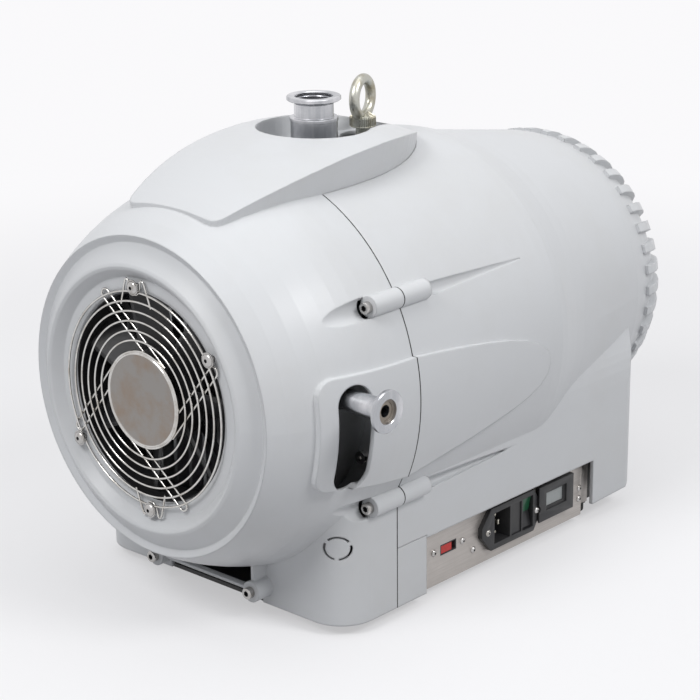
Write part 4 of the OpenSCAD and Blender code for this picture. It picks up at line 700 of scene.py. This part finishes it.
# Pressed disc in the middle of the guard, with a rolled rim
discSet = {
    "front": -239.68, "rim": 33,
    "rings": ((0.5, 31.0), (0.35, 31.6), (0.35, 32.3), (0.05, 32.8), (0, 33.3), (0.1, 33.8),
              (0.5, 34.2), (0.5, 34.5), (0.2, 34.9), (0.25, 35.4), (0.8, 35.8), (1.98, 35.8),
              (1.98, 34.3), (1.5, 34.2), (1.5, 5)),
    "sides": 128, "smooth": 25,
}


def makeDisc(values):
    place = (0, values["front"], axisZ)
    disc = turnPiece("guardDisc", "y", place, values["rings"], values["sides"])
    smoothSides(disc, values["smooth"])
    twoFinishes(disc, "disc_steel", "guard_chrome",
                lambda point: math.hypot(point.x, point.z - axisZ) > values["rim"])
    settle(disc, "disc_steel", ("guard_disc",), second="guard_chrome")


makeDisc(discSet)

# Wire guard: welded rings on hairpin spokes, with a loop round each of two screws
wireSet = {
    "ringY": -238.8, "spokeY": -237.3, "wire": 0.78,
    "rings": (42.8, 49.8, 56.8, 63.8, 70.8, 77.8),
    "spokes": 4, "firstSpoke": 118, "foot": 32.05, "half": 3.75, "tip": 82, "bendSteps": 12,
    "loops": (93, -87), "loopBehind": 0.6,
    "loop": ((-15, 67.5), (-10, 83), (-9, 85.4), (-7.6, 86.2), (-6.2, 85.4), (-5.2, 81), (-3.9, 77.4),
             (-2, 75.9), (0, 75.5)),
    "ringSides": (112, 10), "curveSteps": 3, "smooth": 60,
}


# A round wire along the given points, with its ends closed
def bendWire(name, points, values):
    curve = bpy.data.curves.new(name, "CURVE")
    curve.dimensions = "3D"
    curve.bevel_depth = values["wire"] * mm
    curve.bevel_resolution = values["curveSteps"]
    curve.use_fill_caps = True
    line = curve.splines.new("POLY")
    line.points.add(len(points) - 1)
    for point, (across, out, y) in zip(line.points, points):
        point.co = (across * mm, y * mm, (axisZ + out) * mm, 1)
    wire = bpy.data.objects.new(name, curve)
    bpy.context.scene.collection.objects.link(wire)
    pickOnly(wire)
    bpy.ops.object.convert(target="MESH")
    return bpy.context.object


# Flat points turned by an angle about the fan's axis, each with its place along that axis
def turnedPoints(flat, angle, y):
    cosine, sine = math.cos(math.radians(angle)), math.sin(math.radians(angle))
    return [(a * cosine - b * sine, a * sine + b * cosine, y) for a, b in flat]


# Points of a hairpin that stands out from the disc
def hairpinPoints(values, angle, high):
    middle, half, steps = values["foot"], values["half"], values["bendSteps"]
    bend = [math.pi * i / steps for i in range(steps + 1)]
    flat = [(middle - half, 0)]
    flat += [(middle - half * math.cos(turn), high + half * math.sin(turn)) for turn in bend]
    flat += [(middle + half, 0)]
    return turnedPoints(flat, angle, values["spokeY"])


def makeGuard(values):
    place, turning = (0, values["ringY"], axisZ), (math.pi / 2, 0, 0)
    wires = [addRing(radius, values["wire"], place, turning, values["ringSides"])
             for radius in values["rings"]]
    reach = math.sqrt(values["tip"] ** 2 - values["foot"] ** 2)
    lean = math.degrees(math.atan(reach / values["foot"]))
    for i in range(values["spokes"]):
        angle = values["firstSpoke"] - 360 / values["spokes"] * i - lean
        wires.append(bendWire("spoke", hairpinPoints(values, angle, reach - values["half"]), values))
    for angle in values["loops"]:
        flat = list(values["loop"]) + [(-across, out) for across, out in values["loop"][-2::-1]]
        points = turnedPoints(flat, angle - 90, values["ringY"] + values["loopBehind"])
        wires.append(bendWire("loop", points, values))
    guard = joinPieces("fanGuard", wires)
    smoothSides(guard, values["smooth"])
    settle(guard, "guard_chrome", ("fan_guard",))


makeGuard(wireSet)

# Dark tube inside the lip of the fan's opening: painted shade on the opening's inner wall
openingShadeSet = {
    "centre": (0, 0, axisZ), "span": (-232.6, -228.05), "outer": 75.45, "inner": 74.9, "over": 4,
    "sides": 112, "smooth": 30,
}


def makeOpeningShade(values):
    front, rear = values["span"]
    outside = ((front, values["outer"]), (rear, values["outer"]))
    inside = ((front - values["over"], values["inner"]), (rear + values["over"], values["inner"]))
    shadeTube = turnPiece("fanOpeningShade", "y", values["centre"], outside, values["sides"])
    bore = turnPiece("openingShadeBore", "y", values["centre"], inside, values["sides"])
    combine(shadeTube, bore)
    smoothSides(shadeTube, values["smooth"])
    settle(shadeTube, "black_plastic")


makeOpeningShade(openingShadeSet)

# Vacuum ports, turned from the foot up and down their bores
inletSet = {
    "centre": (0, -60.8, 0), "sides": 96,
    "rings": ((281.3, 21), (286.8, 21), (287.2, 20.5), (287.2, 17.3), (338.6, 17.3), (339, 17.8),
              (341.1, 17.8), (341.5, 17.4), (341.5, 14.9), (342, 14.5), (351.6, 14.5), (352.6, 15),
              (353.8, 19.3), (354.3, 20), (356.4, 20), (357, 19.4), (357, 14.6), (356.3, 14),
              (354, 14), (353.6, 13), (283, 13)),
}
exhaustSet = {
    "centre": (0, -176.5, 184.5), "sides": 80, "wornRadius": 8.55, "wornX": 169,
    "rings": ((113.8, 8), (167.6, 8), (168.2, 8.3), (169.4, 14.4), (169.8, 15), (172, 15), (172.5, 14.5),
              (172.5, 9), (172.1, 8.6), (170, 8.6), (170, 6.8), (169.4, 6.6), (169.4, 4.3), (116, 4)),
}
portSmooth = 25


def makePorts(inlet, exhaust):
    port = turnPiece("inletPort", "z", inlet["centre"], inlet["rings"], inlet["sides"])
    smoothSides(port, portSmooth)
    settle(port, "port_steel", ("inlet_port",))

    def isWorn(point):
        across = math.hypot(point.y - exhaust["centre"][1], point.z - exhaust["centre"][2])
        return across < exhaust["wornRadius"] and point.x > exhaust["wornX"]

    port = turnPiece("exhaustPort", "x", exhaust["centre"], exhaust["rings"], exhaust["sides"])
    smoothSides(port, portSmooth)
    twoFinishes(port, "port_steel", "worn_bore", isWorn)
    settle(port, "port_steel", ("exhaust_port",), second="worn_bore")


makePorts(inletSet, exhaustSet)

# Lifting eye: forged ring on a knurled collar
eyeSet = {
    "y": -7.7, "ringZ": 347, "ring": 14, "section": 4, "turn": 16,
    "post": ((292, 4), (312, 4), (312, 5.3), (325.3, 5.3), (325.4, 9.3), (326.1, 10), (332.4, 10),
             (333.2, 9.3), (335, 6.2), (336.2, 4.4)),
    "knurlLow": 326.1, "knurlHigh": 332.4, "knurlInset": 0.35, "knurlDepth": 0.45,
    "postSides": 36, "ringSides": (72, 24), "smooth": 30,
}


def makeEye(values):
    post = turnPiece("liftingEye", "z", (0, values["y"], 0), values["post"], values["postSides"])
    for face in post.data.polygons:
        upright = abs(face.normal.z) < 0.1
        face.select = upright and values["knurlLow"] < face.center.z / mm < values["knurlHigh"]
    pickOnly(post)
    bpy.ops.object.mode_set(mode="EDIT")
    bpy.ops.mesh.select_mode(type="FACE")
    bpy.ops.mesh.inset(thickness=values["knurlInset"] * mm, depth=-values["knurlDepth"] * mm,
                       use_individual=True)
    bpy.ops.object.mode_set(mode="OBJECT")
    turning = (0, math.pi / 2, math.radians(values["turn"]))
    ring = addRing(values["ring"], values["section"], (0, values["y"], values["ringZ"]), turning,
                   values["ringSides"])
    combine(post, ring, "UNION")
    smoothSides(post, values["smooth"])
    settle(post, "eye_zinc", ("lifting_eye",))


makeEye(eyeSet)
print("guard, ports and eye made")

# Pieces of the control panel: the nodes' own shapes with moulded or folded edges.
# Each entry gives the piece's name, the edges' width and segments, and the finish.
edgeSet = {
    "mains_inlet": ("mainsInlet", 0.9, 3, "black_plastic"),
    "hour_meter": ("hourMeter", 1.1, 3, "black_plastic"),
    "selector_frame": ("selectorFrame", 0.3, 2, "black_plastic"),
    "mains_pins": ("mainsPins", 0.35, 2, "pin_brass"),
    "control_panel": ("controlPanel", 0.3, 2, "panel_steel"),
}


def makePanelPieces(values):
    for nodeName, (name, width, segments, slot) in values.items():
        settle(breakEdges(nodeName, name, width, segments), slot, (nodeName,))


makePanelPieces(edgeSet)

# Rocker, green above the split and black below it: the black is painted shade on the pressed lower half
rockerSet = {"edge": 0.5, "segments": 3, "split": 32.5}


def makeRocker(values):
    rocker = breakEdges("power_rocker", "powerRocker", values["edge"], values["segments"])
    twoFinishes(rocker, "rocker_green", "black_plastic", lambda point: point.z < values["split"])
    settle(rocker, "rocker_green", ("power_rocker",), "rocker", second="black_plastic")


makeRocker(rockerSet)

# Rear edge of the sheet, and a dark wall past it: painted shade for the inside of the case
sheetEdgeAndShadeSet = {
    "edge": ((111.1, 129.3, 9), (112.3, 134.5, 53.5)),
    "wall": ((107.5, 126, 9), (109, 152, 53.5)),
    "rounding": 0.3,
}


def makeSheetEdgeAndShade(values):
    settle(addBlock("sheetEdge", *values["edge"], values["rounding"]), "panel_steel")
    # the black wall is painted shade, hiding the bright floor seen past the sheet
    settle(addBlock("paintedShadeWall", *values["wall"], values["rounding"]), "base_steel")


makeSheetEdgeAndShade(sheetEdgeAndShadeSet)
print("panel pieces made")
